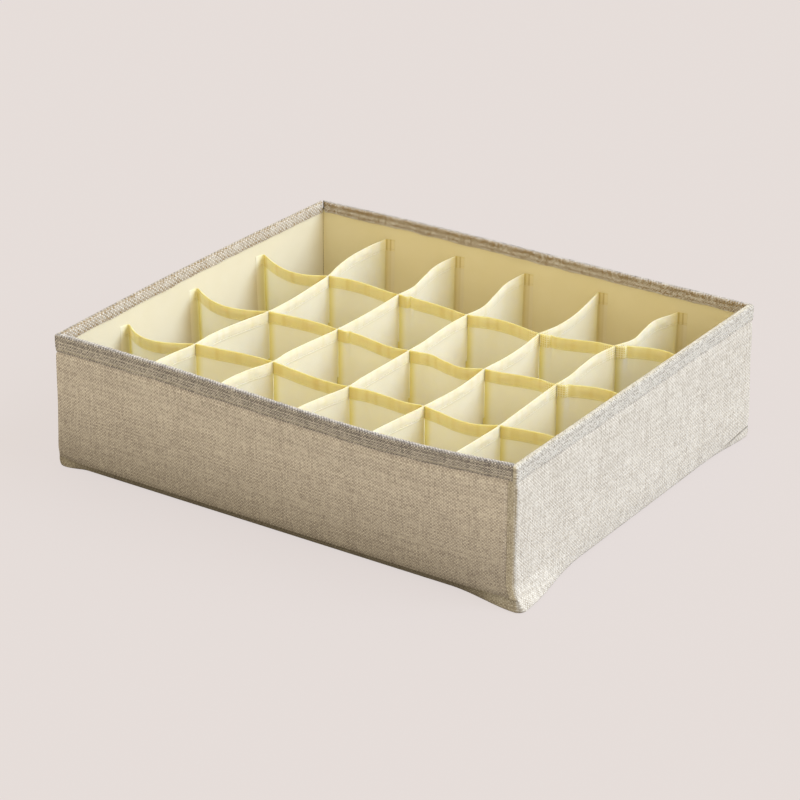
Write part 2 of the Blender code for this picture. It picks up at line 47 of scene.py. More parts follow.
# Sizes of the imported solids, repeated here because their source can't be read. The
# foot at the front right corner is a little fuller here, as soft cloth puffs out.
WIDTH = 350 * MM
DEPTH = 300 * MM
HEIGHT = 95 * MM
LONG_DIVIDER_COUNT = 3
CROSS_DIVIDER_COUNT = 5
CLEARANCE = 0.3 * MM
OUTER_CLOTH = 0.5 * MM
WALL_BOARD = 1.2 * MM
BASE_BOARD = 2.0 * MM
LINING_CLOTH = 0.4 * MM
BINDING_CLOTH = 0.5 * MM
DIVIDER_CLOTH = 0.5 * MM
HEM_THICKNESS = 1.2 * MM
SEAM_HEIGHT = 7.5 * MM
CORNER_RADIUS = 1.5 * MM
CORNER_WRAP = 6 * MM
RIM_BULGE = {"front": 5 * MM, "right": 0, "back": 2.5 * MM, "left": 2.5 * MM}
RIM_SAG = {"front": 2.8 * MM, "right": 0, "back": 0, "left": 0}
RIM_PEAK_SHARES = {"front": 0.71, "right": 0.5, "back": 0.71, "left": 0.5}
CORNER_LEAN = {"front": (-2.5 * MM, 0), "right": (0, 0), "back": (2 * MM, 0), "left": (0, 0)}
LEAN_REACH = 60 * MM
BINDING_INNER_HEIGHT = 7.5 * MM
CURL_REACH = 7 * MM
SIDE_CURL_SHARES = {"front": 1.0, "right": 0.4, "back": 1.0, "left": 1.0}
FOOT_CORNER_RADIUS = 6 * MM
FOOT_REACHES = {
    "front": (18 * MM, 44 * MM),
    "right": (80 * MM, 45 * MM),
    "back": (35 * MM, 35 * MM),
    "left": (30 * MM, 30 * MM),
}
FOOT_PUSH = {
    "front": (-0.8 * MM, 0),
    "right": (8.5 * MM, -4 * MM),
    "back": (1 * MM, 0),
    "left": (0, 0),
}
CURL_DEPTH_SHARES = (0.0, 0.08, 0.25, 0.55, 1.0)
CURL_HEIGHT_SHARES = (1.0, 0.70, 0.35, 0.10, 0.0)
FOOT_DEPTH_SHARES = (0.0, -0.05, -0.05, 0.0, 0.25)
FOOT_HEIGHT_SHARES = (1.0, 0.70, 0.35, 0.08, 0.0)
DIVIDER_DROP = 17 * MM
HEM_HEIGHT = 8.5 * MM
TAB_WIDTH = 7 * MM
TAB_RADIUS = 1.2 * MM
SPAN_SAG = 1.5 * MM
SLOT_HEIGHT_SHARE = 0.5
BOTTOM_SLACK_SHARE = 0.6

# How the slack strips lie, in shares of a cell, as in the solids' source
LONG_BOW_SHARES = (
    (-0.15, 0.10, 0.08, 0.14, 0.05, 0.24),
    (-0.16, 0.09, 0.03, 0.00, 0.09, 0.22),
    (-0.16, 0.08, 0.00, 0.05, -0.07, 0.12),
)
LONG_SKEW_SHARES = (
    (0.00, 0.02, 0.00, 0.02, 0.00, 0.00),
    (-0.02, 0.00, 0.03, 0.07, 0.00, 0.00),
    (-0.03, 0.00, 0.00, 0.03, 0.03, 0.00),
)
CROSS_BOW_SHARES = (
    (-0.09, 0.00, -0.07, -0.08),
    (-0.03, -0.01, -0.05, -0.12),
    (-0.01, -0.03, -0.03, -0.07),
    (0.05, 0.01, 0.01, -0.05),
    (-0.03, -0.04, -0.02, -0.02),
)
CROSS_SKEW_SHARES = (
    (0.00, 0.00, 0.00, 0.00),
    (-0.03, 0.00, 0.00, 0.00),
    (-0.03, -0.01, 0.00, 0.00),
    (0.00, 0.00, 0.00, 0.00),
    (-0.05, -0.02, 0.00, 0.00),
)
CROSSING_DRIFT_SHARES = (
    ((-0.02, -0.01), (0.00, 0.00), (-0.02, -0.01), (-0.02, -0.01), (-0.01, -0.01)),
    ((0.00, 0.00), (0.00, 0.00), (0.00, 0.00), (0.01, 0.01), (-0.03, -0.01)),
    ((-0.07, -0.04), (0.00, 0.00), (0.03, 0.01), (0.03, 0.02), (0.01, 0.01)),
)
CROSSING_DROP_SHARES = (
    (0.04, 0.05, 0.07, 0.07, 0.00),
    (0.06, 0.05, 0.07, 0.06, 0.01),
    (0.03, 0.01, 0.05, 0.04, 0.02),
)
LONG_END_DRIFT_SHARES = (0.00, -0.04, -0.08)
CROSS_END_DRIFT_SHARES = (-0.05, -0.02, -0.02, 0.03, 0.11)

# Depths of the wall's layers, measured inwards from the binding's outer face, and
# heights of what lies between the walls
OUTER_FACE = BINDING_CLOTH + CLEARANCE
OUTER_MIDDLE = OUTER_FACE + OUTER_CLOTH / 2
BOARD_FACE = OUTER_FACE + OUTER_CLOTH + CLEARANCE
LINING_OUTSIDE = BOARD_FACE + WALL_BOARD + CLEARANCE
LINING_MIDDLE = LINING_OUTSIDE + LINING_CLOTH / 2
LINING_FACE = LINING_OUTSIDE + LINING_CLOTH
RIM_THICKNESS = LINING_FACE + CLEARANCE + BINDING_CLOTH
WALL_TOP = HEIGHT - BINDING_CLOTH - CLEARANCE
FLOOR_BOTTOM = OUTER_CLOTH + CLEARANCE + BASE_BOARD + CLEARANCE
FLOOR_TOP = FLOOR_BOTTOM + LINING_CLOTH
DIVIDER_BOTTOM = FLOOR_TOP + CLEARANCE
DIVIDER_TOP = HEIGHT - DIVIDER_DROP
TAB_DEPTH = LINING_FACE + CLEARANCE + HEM_THICKNESS / 2

# A cell of the even grid that fills the room between the linings
CELL_WIDTH = (WIDTH - 2 * LINING_FACE) / (CROSS_DIVIDER_COUNT + 1)
CELL_DEPTH = (DEPTH - 2 * LINING_FACE) / (LONG_DIVIDER_COUNT + 1)

RIGHT_FOOT_REACH = FOOT_PUSH["right"][0] - OUTER_FACE
MIDDLE = np.array((
    (RIM_BULGE["left"] - RIGHT_FOOT_REACH) / 2,
    (RIM_BULGE["front"] - RIM_BULGE["back"]) / 2,
    0,
))
SIDES = ("front", "right", "back", "left")
SIDE_LENGTHS = {"front": WIDTH, "right": DEPTH, "back": WIDTH, "left": DEPTH}
SIDE_STARTS = {
    "front": MIDDLE + (-WIDTH / 2, -DEPTH / 2, 0),
    "right": MIDDLE + (WIDTH / 2, -DEPTH / 2, 0),
    "back": MIDDLE + (WIDTH / 2, DEPTH / 2, 0),
    "left": MIDDLE + (-WIDTH / 2, DEPTH / 2, 0),
}
SIDE_ALONG = {
    "front": np.array((1, 0, 0)),
    "right": np.array((0, 1, 0)),
    "back": np.array((-1, 0, 0)),
    "left": np.array((0, -1, 0)),
}
UP = np.array((0, 0, 1))

# Whether a wall's cloth wraps the corner at its start and at its end
OUTER_WRAPS = {
    "front": (True, False),
    "right": (True, True),
    "back": (False, True),
    "left": (False, False),
}

# How fine the cloth meshes are, and how uneven the cloth lies
WALL_STEP = 2.5 * MM
TAPE_STEP = 1.2 * MM
QUARTERS = 4
STRIP_STEPS_PER_QUARTER = 10
SPAN_STEPS = QUARTERS * STRIP_STEPS_PER_QUARTER
TAB_STEPS = 8
TIP_STEPS = 3
END_STEPS = TAB_STEPS + TIP_STEPS
CORNER_STEPS = 8
CURL_STEPS = 5
WRAP_STATIONS = 4
COVER_STATIONS = 3
LEG_STEPS = 6
BODY_ROWS = 12
FACE_ROWS = 5
TOP_STEPS = 8
RIPPLE_WAVES = 7
RIPPLE_LENGTH_SHARES = (0.6, 1.6)
WALL_RIPPLE = 0.15 * MM
WALL_RIPPLE_LENGTH = 60 * MM
STRIP_RIPPLE = 0.45 * MM
STRIP_RIPPLE_LENGTH = 45 * MM
HEM_PUFF = 0.35 * MM
HEM_PUFF_LENGTH = 14 * MM
PUFF_RIPPLE_SHARE = 0.6
SWELL_RIPPLE_SHARE = 0.25
SWAY_POWER = 0.8
SHARP_ANGLE = 50

# Seeds of the unevenness, counted up from here for the pieces of each kind
WALL_SEED = 1
LINING_SEED = 10
TAPE_SEED = 20
STRIP_SEED = 40

# The strips' hems and stitching, slots, the painted shade by folds and crossings, net patches, pleats
# and tabs
CALM_REACH = 12 * MM
HEM_SEEN = 0.7 * MM
HEM_BACK = HEM_THICKNESS - HEM_SEEN
STITCH_GROOVE = 0.22 * MM
STITCH_RISE = 1.4 * MM
GROOVE_REACH = 0.5 * MM
BODY_GAP = 0.5 * MM
LIP_RISES = (-0.25 * MM, -0.1 * MM, 0.35 * MM)
LIP_SHARE = 0.75
FACE_RISE = 0.9 * MM
SLOT_OVERRUN = 6 * MM
FOLD_REACH = 7 * MM
NET_CROSSINGS = ((1, 4), (1, 5), (2, 5))
NET_REACH = 11 * MM
PLEAT_CROSSINGS = ((1, 2), (1, 4), (1, 5), (2, 5), (2, 2))
PLEAT_PLACE = 9 * MM
PLEAT_WIDTH = 1.5 * MM
PLEAT_DEPTH = 1.6 * MM
PLEAT_DIP_WIDTHS = 2
PLEAT_LOW_SHARE = 0.6
FLAT_TAB_SHARE = 0.25
FLAT_TAB_GAP = -0.13 * MM

# The outer cloth's soft swell between its seams, its tucked ends and wraps, its
# flare above the feet and its lower seam, and where the cloth and the lining end
PILLOW = 0.9 * MM
PILLOW_RISE = 8 * MM
PILLOW_FALL = 3 * MM
TUCK_LENGTH = 2 * MM
TUCK_STEP = 0.6 * MM
TUCK_DEPTH = 0.6 * MM
WRAP_GAP = 0.7 * MM
WRAP_PROUD = 0.2 * MM
FLARE_HEIGHT = 16 * MM
FLARE_POWER = 1.4
SEAM_LOWS = {"front": 6 * MM, "right": 3 * MM, "back": 4 * MM, "left": 4 * MM}
SEAM_CREASE = 0.2 * MM
TUCK_RISE = 1.2 * MM
CLOTH_TOP = WALL_TOP - 5 * MM
LINING_CORNER_GAP = 0.1 * MM
LINING_CALM_REACH = 15 * MM

# The tape: its shoulder, its height on the outer face at the start and the end of
# each side, the gaps at its mitres, and the corner that one tape covers
SHOULDER = 1.2 * MM
BINDING_HEIGHTS = {
    "front": (12 * MM, 10 * MM),
    "right": (11 * MM, 11 * MM),
    "back": (11 * MM, 12 * MM),
    "left": (12 * MM, 12 * MM),
}
BINDING_EDGE_RIPPLE = 0.25 * MM
BINDING_EDGE_LENGTH = 30 * MM
TAPE_GAPS = {"front": 0.03 * MM, "right": 0.03 * MM, "back": 0.03 * MM, "left": 0.9 * MM}
COVERING_TAPE = "right"
TAPE_COVER = 3 * MM
COVER_GAP = 0.1 * MM
COVER_CORNER = 1 * MM
TAPE_FUZZ = 0.07 * MM
TAPE_PRESS = 0.45 * MM
PRESS_POWER = 3

# How fine and how strong the patterns of the cloths are
STITCH_WIDTH = 0.45 * MM
STITCH_PERIOD = 3.6 * MM
STITCH_SHARE = 0.75
TAPE_THREAD_SHARE = 0.7
HEM_THREAD_SHARE = 0.6
WANDER_SCALE = 90
CLOUD_SCALE = 25
FIBRE_SCALE = 2500
SLUB_SCALE = 900
SLUB_STRETCH = 0.1
BROAD_DETAIL = 3
FINE_DETAIL = 2
YARN_PLACE = 0.5
# The painted shade in the pits between the yarns
PIT_REACH = 0.35
PIT_SHARE = 0.45
OVER_SHARE = 0.5
CREAM_CLOUD_SCALE = 60
CREAM_CLOUD_RANGE = (0.3, 0.7)
CREAM_GRAIN_SCALE = 1600
CREAM_RELIEF = 0.06 * MM
DOT_PERIOD = 1.3 * MM
DOT_SHARE = 0.35
BOARD_SPECK_SCALE = 700
BOARD_SPECK_RANGE = (0.35, 0.65)
BOARD_DETAIL = 4
BOARD_RELIEF = 0.05 * MM

# How dull the surfaces are, and how deep light goes into the strips' thin cloth
WOVEN_ROUGHNESS = 0.85
CREAM_ROUGHNESS = 0.75
BOARD_ROUGHNESS = 0.9
SHEEN_ROUGHNESS = 0.5
CREAM_SHEEN = 0.1
SPECULAR = 0.2
GLOW_DEPTH = 2.5 * MM
GLOW_SHARES = (1.0, 0.9, 0.6)

# Where the woven cloths get painted shade and painted light, and the painted shade
# and golden bounce light on the tapes' inner legs
LIFT_REACH = 250 * MM
FRONT_RANGE = (-0.45, -0.1)
BOTTOM_SHADE_REACH = 50 * MM
SEAM_LINE = 1.8 * MM
FOOT_SHADE_REACH = 45 * MM
CREASE_REACH = 36 * MM
SHADE_TINT = (0.04, 0.025, 0.015)
INSIDE_DARK = (0.34, 0.23, 0.11)
INSIDE_LIGHT_SHARE = 0.87

# The woven cloths. Dark and light are the shades that the yarns vary between, and
# the shares after them say how much each kind of unevenness weighs. The painted
# shades at the front, foot, crease, seam and wrap and the painted shade towards the
# bottom (fade) are 1 where no painted shade darkens the cloth, and lift is painted
# light near the start of a tape.
WOVEN = {
    "cloud": 0.2,
    "front_shade": 1,
    "fade": 1,
    "foot_shade": 1,
    "crease_shade": 1,
    "seam_shade": 1,
    "wrap_shade": 1,
    "lift": 0,
}
LINEN = {
    **WOVEN,
    "pitch": (1.2 * MM, 1.1 * MM),
    "dark": (0.48, 0.43, 0.39),
    "light": (1.0, 0.97, 0.96),
    "middle": 0.61,
    "wander": 0.6,
    "contrast": 0.34,
    "speckle": 0.4,
    "streak": (0.16, 0.16),
    "fibre": 0.6,
    "slub": (1.0, 0.6),
    "pit": 0.7,
    "relief": 0.14 * MM,
    "sheen": 0.2,
    "wrap_shade": 0.8,
    "inside": HEIGHT,
    "stitch_rise": 0,
}
# The front wall's copy of the linen: the same cloth, tinted and textured as it shows on the shaded
# front, with painted shade towards the bottom and along the seam
FRONT_LINEN = {
    **LINEN,
    "dark": (0.48, 0.43, 0.46),
    "light": (1.0, 0.96, 1.0),
    "speckle": 0.44,
    "contrast": 0.44,
    "streak": (0.14, 0.26),
    "slub": (0.95, 0.85),
    "fade": 0.62,
    "wrap_shade": 1,
    "seam_shade": 0.8,
}
# The base's copy of the linen: painted shade makes it darker overall, darkest on the rolled edge where
# it faces the front, lighter at the front feet, and dark along its seam and in the crease at the back
# right foot
BASE_LINEN = {
    **LINEN,
    "front_shade": 0.28,
    "foot_shade": 0.6,
    "crease_shade": 0.45,
    "seam_shade": 0.75,
    "wrap_shade": 1,
    "middle": 0.52,
}
TAPE = {
    **WOVEN,
    "pitch": (1.0 * MM, 0.95 * MM),
    "dark": (0.21, 0.195, 0.24),
    "light": (0.97, 0.94, 1.0),
    "middle": 0.50,
    "wander": 0.8,
    "contrast": 0.5,
    "speckle": 0.55,
    "streak": (0.25, 0.6),
    "fibre": 0.5,
    "slub": (0.3, 0.3),
    "pit": 0.6,
    "relief": 0.25 * MM,
    "sheen": 0.3,
    "lift": 0.12,
    "inside": 13 * MM,
    "stitch_rise": 1.6 * MM,
    "thread": (0.80, 0.77, 0.70),
}
# One tape, in copies that paint how light falls on each side: the sunlit right paler and with less
# contrast, the back darker, the left a little lighter and with a coarser weave
TAPES = {
    "front": TAPE,
    "right": {
        **TAPE,
        "dark": (0.40, 0.36, 0.34),
        "light": (1.0, 0.98, 0.98),
        "middle": 0.85,
        "speckle": 1.0,
        "lift": 0,
        "thread": (0.92, 0.90, 0.86),
    },
    "back": {**TAPE, "middle": 0.40, "speckle": 0.9},
    "left": {
        **TAPE,
        "middle": 0.56,
        "light": (1.0, 0.95, 0.93),
        "pitch": (1.6 * MM, 1.25 * MM),
        "contrast": 0.45,
        "speckle": 0.45,
        "streak": (0.2, 0.6),
    },
}

# The cream cloths. Deep and colour are the two shades that one layer varies between,
# hem is the colour of the doubled cloth with painted shade where its seen side is
# unlit, fold is how strongly the painted shade at folds and crossings shows, and tip
# is a painted lighter tint at a sewn tab's outer end.
CREAM = {"hem": None, "fold": 0, "glow": 0, "tip": None, "tab_stitches": ()}
LINING = {**CREAM, "colour": (0.875, 0.825, 0.69), "deep": (0.85, 0.795, 0.64)}
# The back wall's copy of the lining: the same cloth, more golden as painted shade, for that wall's seen
# face gets no direct light
BACK_LINING = {**CREAM, "colour": (0.92, 0.85, 0.63), "deep": (0.89, 0.82, 0.58)}
# The long and the cross strips are one cloth, in two copies that paint how light falls on each: golden
# painted shade on the long strips' hems, whose seen side is unlit, and pale hems on the cross strips,
# whose seen side is lit
STRIP_CLOTHS = {
    "long": {
        **CREAM,
        "colour": (0.97, 0.90, 0.76),
        "deep": (0.94, 0.87, 0.70),
        "hem": (0.86, 0.79, 0.50),
        "fold": 0.9,
        "glow": 1,
    },
    "cross": {
        **CREAM,
        "colour": (0.92, 0.85, 0.69),
        "deep": (0.89, 0.81, 0.62),
        "hem": (0.93, 0.87, 0.74),
        "fold": 0.3,
        "glow": 1,
    },
}
# The sewn tabs' copies of the cloth: the long strips' tabs lighter and more golden, as painted light
# that makes up for the strip's shadow on them, and paler still at their tips; the cross strips' tabs
# darker gold, as painted shade
SEWN_CLOTHS = {
    "long": {
        **CREAM,
        "colour": (1.0, 0.97, 0.68),
        "deep": (0.99, 0.95, 0.62),
        "hem": (1.0, 0.94, 0.58),
        "fold": 0.05,
        "tip": (1.0, 0.97, 0.84),
    },
    "cross": {
        **CREAM,
        "colour": (0.90, 0.83, 0.66),
        "deep": (0.87, 0.80, 0.60),
        "hem": (0.90, 0.81, 0.55),
        "fold": 0.6,
        "tab_stitches": (3.2 * MM, 6.2 * MM),
    },
}
BOARD_DARK = (0.28, 0.26, 0.23)
BOARD_LIGHT = (0.38, 0.36, 0.33)

# The marks on the hems and the sewn tabs. The fold tint is painted shade at the folds
# and crossings
HEM_BLUR = 0.3 * MM
FOLD_TINT = (0.71, 0.60, 0.22)
THREAD_TINT = (0.74, 0.66, 0.44)
TAB_STITCH_WIDTH = 0.8 * MM
TAB_STITCH_TINT = (0.58, 0.44, 0.15)
TAB_STITCH_SHARE = 0.1
TAB_STITCH_HEM_SHARE = 0.45
# The net patches: a real dotted pattern, with a paler tint painted on as the highlight that shows it
NET_SHARE = 0.8
NET_PALE_SHARE = 0.6
NET_TINT = (0.95, 0.89, 0.72)
NET_PERIOD = 3.2 * MM
NET_EDGE = 0.3
BAR_SCALE = 140
BAR_DETAIL = 1
BAR_RANGE = (0.45, 0.75)
BAR_SHARE = 0.6
RIDGE_HEIGHT = 1.5 * MM
RIDGE_SHARE = 0.5

# Lights and stage
FLOOR_SIZE = 30
BACKDROP = (0.776, 0.716, 0.701)
FLOOR_GLOW = 0.9
FLOOR_BOUNCE = (0.34, 0.30, 0.28)
SKY_STRENGTH = 0.87
SKY_COLOUR = (1.0, 0.86, 0.54)
KEY_STRENGTH = 2.2
KEY_COLOUR = (0.73, 0.88, 1.08)
KEY_FROM = (1.2, 0.45, 1.0)
KEY_SOFTNESS = 40

# Camera, fitted to the photograph
CAMERA_FROM_MIDDLE = (0.95127, -1.44482, 0.82441)
CAMERA_AZIMUTH = 33.5471
CAMERA_ELEVATION = 24.4834
CAMERA_ROLL = 0.319
CAMERA_SENSOR = 36
CAMERA_LENS = 129.237


def lerp(a, b, share):
    return a + (b - a) * share


def inward(side):
    return np.cross(UP, SIDE_ALONG[side])


def side_after(side):
    return SIDES[(SIDES.index(side) + 1) % len(SIDES)]


def side_before(side):
    return SIDES[SIDES.index(side) - 1]


def flat(vector):
    return np.array((*vector, 0))


def smooth(share):
    """0 to 1 with an easy start and end."""
    share = np.clip(share, 0, 1)
    return share * share * (3 - 2 * share)


def corner_weight(distance, reach):
    """1 at a corner, falling smoothly to 0 where the corner's reach ends."""
    return (1 + np.cos(math.pi * np.clip(distance / reach, 0, 1))) / 2


def corner_lean(side, along, height):
    """How far a wall is carried off by the lean of the corners at its ends."""
    start = corner_weight(along, LEAN_REACH)[..., None]
    end = corner_weight(SIDE_LENGTHS[side] - along, LEAN_REACH)[..., None]
    lean = start * flat(CORNER_LEAN[side]) + end * flat(CORNER_LEAN[side_after(side)])
    return lean * (1 - np.clip(height / HEIGHT, 0, 1))[..., None]


def ripple(a, b, length, seed):
    """Smooth unevenness over a sheet, mostly from -1 to 1, the same in each run."""
    rng = np.random.default_rng(seed)
    total = 0
    for _ in range(RIPPLE_WAVES):
        angle = rng.uniform(0, math.tau)
        phase = rng.uniform(0, math.tau)
        wavelength = length * rng.uniform(*RIPPLE_LENGTH_SHARES)
        travel = np.asarray(a) * math.cos(angle) + np.asarray(b) * math.sin(angle)
        total = total + np.sin(travel * math.tau / wavelength + phase)
    return total / math.sqrt(RIPPLE_WAVES)


def smooth_line(points, steps):
    """A smooth curve through the points, with as many steps between each two."""
    points = np.asarray(points, dtype=float)
    before = np.vstack([2 * points[0] - points[1], points[:-1]])
    after = np.vstack([points[2:], 2 * points[-1] - points[-2]])
    line = []
    for index in range(len(points) - 1):
        start, end = points[index], points[index + 1]
        previous, following = before[index], after[index]
        for step in range(steps):
            t = step / steps
            line.append((
                2 * start
                + (end - previous) * t
                + (2 * previous - 5 * start + 4 * end - following) * t ** 2
                + (3 * start - previous - 3 * end + following) * t ** 3
            ) / 2)
    line.append(points[-1])
    return np.array(line)


def wall_points(side, along, depth, height):
    """Points of a wall, with the lean, bulge and sag of its soft cloth."""
    along, depth, height = np.broadcast_arrays(along, depth, height)
    length = SIDE_LENGTHS[side]
    share = np.clip((along - CORNER_WRAP) / (length - 2 * CORNER_WRAP), 0, 1)
    skew = math.log(0.5) / math.log(RIM_PEAK_SHARES[side])
    lift = np.clip((height - OUTER_CLOTH) / (HEIGHT - OUTER_CLOTH), 0, 1)
    swell = np.sin(math.pi * share ** skew) * lift
    return (
        SIDE_STARTS[side]
        + along[..., None] * SIDE_ALONG[side]
        + (depth - RIM_BULGE[side] * swell)[..., None] * inward(side)
        + (height - RIM_SAG[side] * swell)[..., None] * UP
        + corner_lean(side, along, height)
    )


def grid_faces(rows, columns, closed_rows=False, closed_columns=False):
    """Corner numbers of a grid's quads, which may close on itself either way."""
    row_count = rows if closed_rows else rows - 1
    column_count = columns if closed_columns else columns - 1
    row, column = np.meshgrid(np.arange(row_count), np.arange(column_count), indexing="ij")
    next_row = (row + 1) % rows
    next_column = (column + 1) % columns
    corners = (
        row * columns + column,
        row * columns + next_column,
        next_row * columns + next_column,
        next_row * columns + column,
    )
    return np.stack(corners, axis=-1).reshape(-1, 4)


def add_map(mesh, name, places):
    """A UV map that gives each face's corners the values of their points."""
    layer = mesh.uv_layers.new(name=name)
    corners = np.zeros(len(mesh.loops), dtype=int)
    mesh.loops.foreach_get("vertex_index", corners)
    layer.uv.foreach_set("vector", np.reshape(places, (-1, 2))[corners].ravel())


def mesh_object(name, points, faces, cloth, material):
    """A mesh with `cloth`, its points' places on the flat cloth, as its UV map."""
    mesh = bpy.data.meshes.new(name)
    mesh.from_pydata(np.reshape(points, (-1, 3)).tolist(), [], [list(face) for face in faces])
    add_map(mesh, "cloth", cloth)
    mesh.materials.append(material)
    mesh.shade_smooth()
    thing = bpy.data.objects.new(name, mesh)
    bpy.context.scene.collection.objects.link(thing)
    return thing


def apply_modifiers(thing):
    """The thing becomes a plain mesh, with sharp edges where it bends hard."""
    graph = bpy.context.evaluated_depsgraph_get()
    mesh = bpy.data.meshes.new_from_object(thing.evaluated_get(graph))
    thing.modifiers.clear()
    thing.data = mesh
    mesh.set_sharp_from_angle(angle=math.radians(SHARP_ANGLE))


def thicken(thing, thickness, even=True):
    """Give an open sheet its thickness, half of it to each side."""
    solidify = thing.modifiers.new("thickness", "SOLIDIFY")
    solidify.thickness = thickness
    solidify.offset = 0
    solidify.use_even_offset = even
    apply_modifiers(thing)


def steps_for(length, step):
    """How many points a length gets when they lie about a step apart."""
    return max(2, round(length / step))


def dress(thing, node):
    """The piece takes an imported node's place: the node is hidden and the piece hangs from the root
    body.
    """
    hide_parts(node)
    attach(thing, "root")


def arc_lengths(points):
    """Distance travelled along the last but one axis of an array of points."""
    steps = np.linalg.norm(np.diff(points, axis=-2), axis=-1)
    start = np.zeros(steps.shape[:-1] + (1,))
    return np.concatenate([start, np.cumsum(steps, axis=-1)], axis=-1)


# Outer cloth


def corner_path(before, after, depth, radius):
    """Stations (side, along, depth) round the corner between two sides."""
    centre = depth + radius
    stations = []
    for step in range(CORNER_STEPS + 1):
        angle = math.pi / 2 * step / CORNER_STEPS
        if step <= CORNER_STEPS / 2:
            along = SIDE_LENGTHS[before] - centre + radius * math.sin(angle)
            stations.append((before, along, centre - radius * math.cos(angle)))
        else:
            along = centre - radius * math.cos(angle)
            stations.append((after, along, centre - radius * math.sin(angle)))
    return stations


def wall_path(side, wraps_start, wraps_end, depth):
    """Stations of an outer panel, whose ends wrap a corner or run under a wrap."""
    before = side_before(side)
    after = side_after(side)
    length = SIDE_LENGTHS[side]
    radius = CORNER_RADIUS - OUTER_CLOTH / 2
    corner = OUTER_MIDDLE + radius
    stop = CORNER_WRAP + WRAP_GAP
    tuck = [(stop - TUCK_LENGTH, depth + TUCK_DEPTH), (stop - TUCK_STEP, depth + TUCK_DEPTH)]
    path = []
    if wraps_start:
        wrap = SIDE_LENGTHS[before] - np.array((CORNER_WRAP, corner))
        for along in np.linspace(*wrap, WRAP_STATIONS)[:-1]:
            path.append((before, along, depth))
        path[0] = (before, path[0][1], depth - WRAP_PROUD)
        path.extend(corner_path(before, side, depth, corner - depth)[:-1])
    else:
        path.extend((side, along, low) for along, low in tuck)
    start_along = corner if wraps_start else stop
    end_along = length - (corner if wraps_end else stop)
    for along in np.linspace(start_along, end_along, steps_for(length, WALL_STEP)):
        path.append((side, along, depth))
    if wraps_end:
        path.extend(corner_path(side, after, depth, corner - depth)[1:])
        for along in np.linspace(corner, CORNER_WRAP, WRAP_STATIONS)[1:]:
            path.append((after, along, depth))
        path[-1] = (after, path[-1][1], depth - WRAP_PROUD)
    else:
        path.extend((side, length - along, low) for along, low in reversed(tuck))
    return path


def foot_weights(side, along):
    """How much a place along a wall belongs to the feet at its start and end."""
    start_reach, end_reach = FOOT_REACHES[side]
    start = corner_weight(along, start_reach)
    end = corner_weight(SIDE_LENGTHS[side] - along, end_reach)
    return start, end


def foot_push(side, along, height):
    """How far the feet push the outer cloth out, most of it at the floor."""
    start, end = foot_weights(side, along)
    push = start[..., None] * flat(FOOT_PUSH[side]) + end[..., None] * flat(FOOT_PUSH[side_after(side)])
    return push * (np.clip(1 - height / FLARE_HEIGHT, 0, 1) ** FLARE_POWER)[..., None]


def seam_height(side, along):
    """The seam between wall and base: low along the walls, high at the feet."""
    return lerp(SEAM_LOWS[side], SEAM_HEIGHT, np.maximum(*foot_weights(side, along)))


def outer_panel(side, seed, material):
    """One wall's linen-look cloth, stretched over its board."""
    inner_path = wall_path(side, *OUTER_WRAPS[side], OUTER_MIDDLE)
    swollen_path = wall_path(side, *OUTER_WRAPS[side], OUTER_MIDDLE - PILLOW)
    shares = np.linspace(0, 1, steps_for(HEIGHT, WALL_STEP))
    columns = []
    for inner, swollen in zip(inner_path, swollen_path):
        station_side, along, _ = inner
        seam = seam_height(station_side, np.array(along))
        height = lerp(seam, CLOTH_TOP, shares)
        swell = smooth((height - seam) / PILLOW_RISE)
        swell = swell * smooth((HEIGHT - max(BINDING_HEIGHTS[side]) - height) / PILLOW_FALL)
        unevenness = SWELL_RIPPLE_SHARE * ripple(along, height, WALL_RIPPLE_LENGTH, seed)
        swell = swell * (1 - SWELL_RIPPLE_SHARE + unevenness)
        points = lerp(wall_points(*inner, height), wall_points(*swollen, height), swell[..., None])
        columns.append(points + foot_push(station_side, np.full_like(height, along), height))
    points = np.stack(columns, axis=1)
    travel = arc_lengths(points)[len(shares) // 2]
    cloth = np.stack(np.meshgrid(travel, shares * (CLOTH_TOP - SEAM_HEIGHT)), axis=-1)
    faces = grid_faces(*points.shape[:2])
    thing = mesh_object(f"woven_{side}_panel", points, faces, cloth, material)
    thicken(thing, OUTER_CLOTH)
    dress(thing, f"outer_{side}_panel")


# Base cloth


def base_ring(curl, foot, level_share):
    """One ring of the base cloth, right round the organizer."""
    radius = lerp(CORNER_RADIUS - OUTER_CLOTH / 2, FOOT_CORNER_RADIUS, level_share)
    inset = OUTER_MIDDLE + CURL_REACH * foot[0] + radius
    low = OUTER_CLOTH / 2
    corner_height = lerp(low, SEAM_HEIGHT - SEAM_CREASE, foot[1])
    ring = []
    for side in SIDES:
        length = SIDE_LENGTHS[side]
        along = np.linspace(0, length, steps_for(length, WALL_STEP))
        weight = np.maximum(*foot_weights(side, along))
        depth = OUTER_MIDDLE + CURL_REACH * lerp(curl[0] * SIDE_CURL_SHARES[side], foot[0], weight)
        height = lerp(low, seam_height(side, along) - SEAM_CREASE, lerp(curl[1], foot[1], weight))
        place = lerp(inset, length - inset, along / length)
        ring.append(wall_points(side, place, depth, height) + foot_push(side, along, height))
        angle = math.pi / 2 * np.arange(1, CORNER_STEPS) / CORNER_STEPS
        height = np.full_like(angle, corner_height)
        along = length - inset + radius * np.sin(angle)
        corner = wall_points(side, along, inset - radius * np.cos(angle), height)
        ring.append(corner + foot_push(side, np.full_like(angle, length), height))
    return np.concatenate(ring)


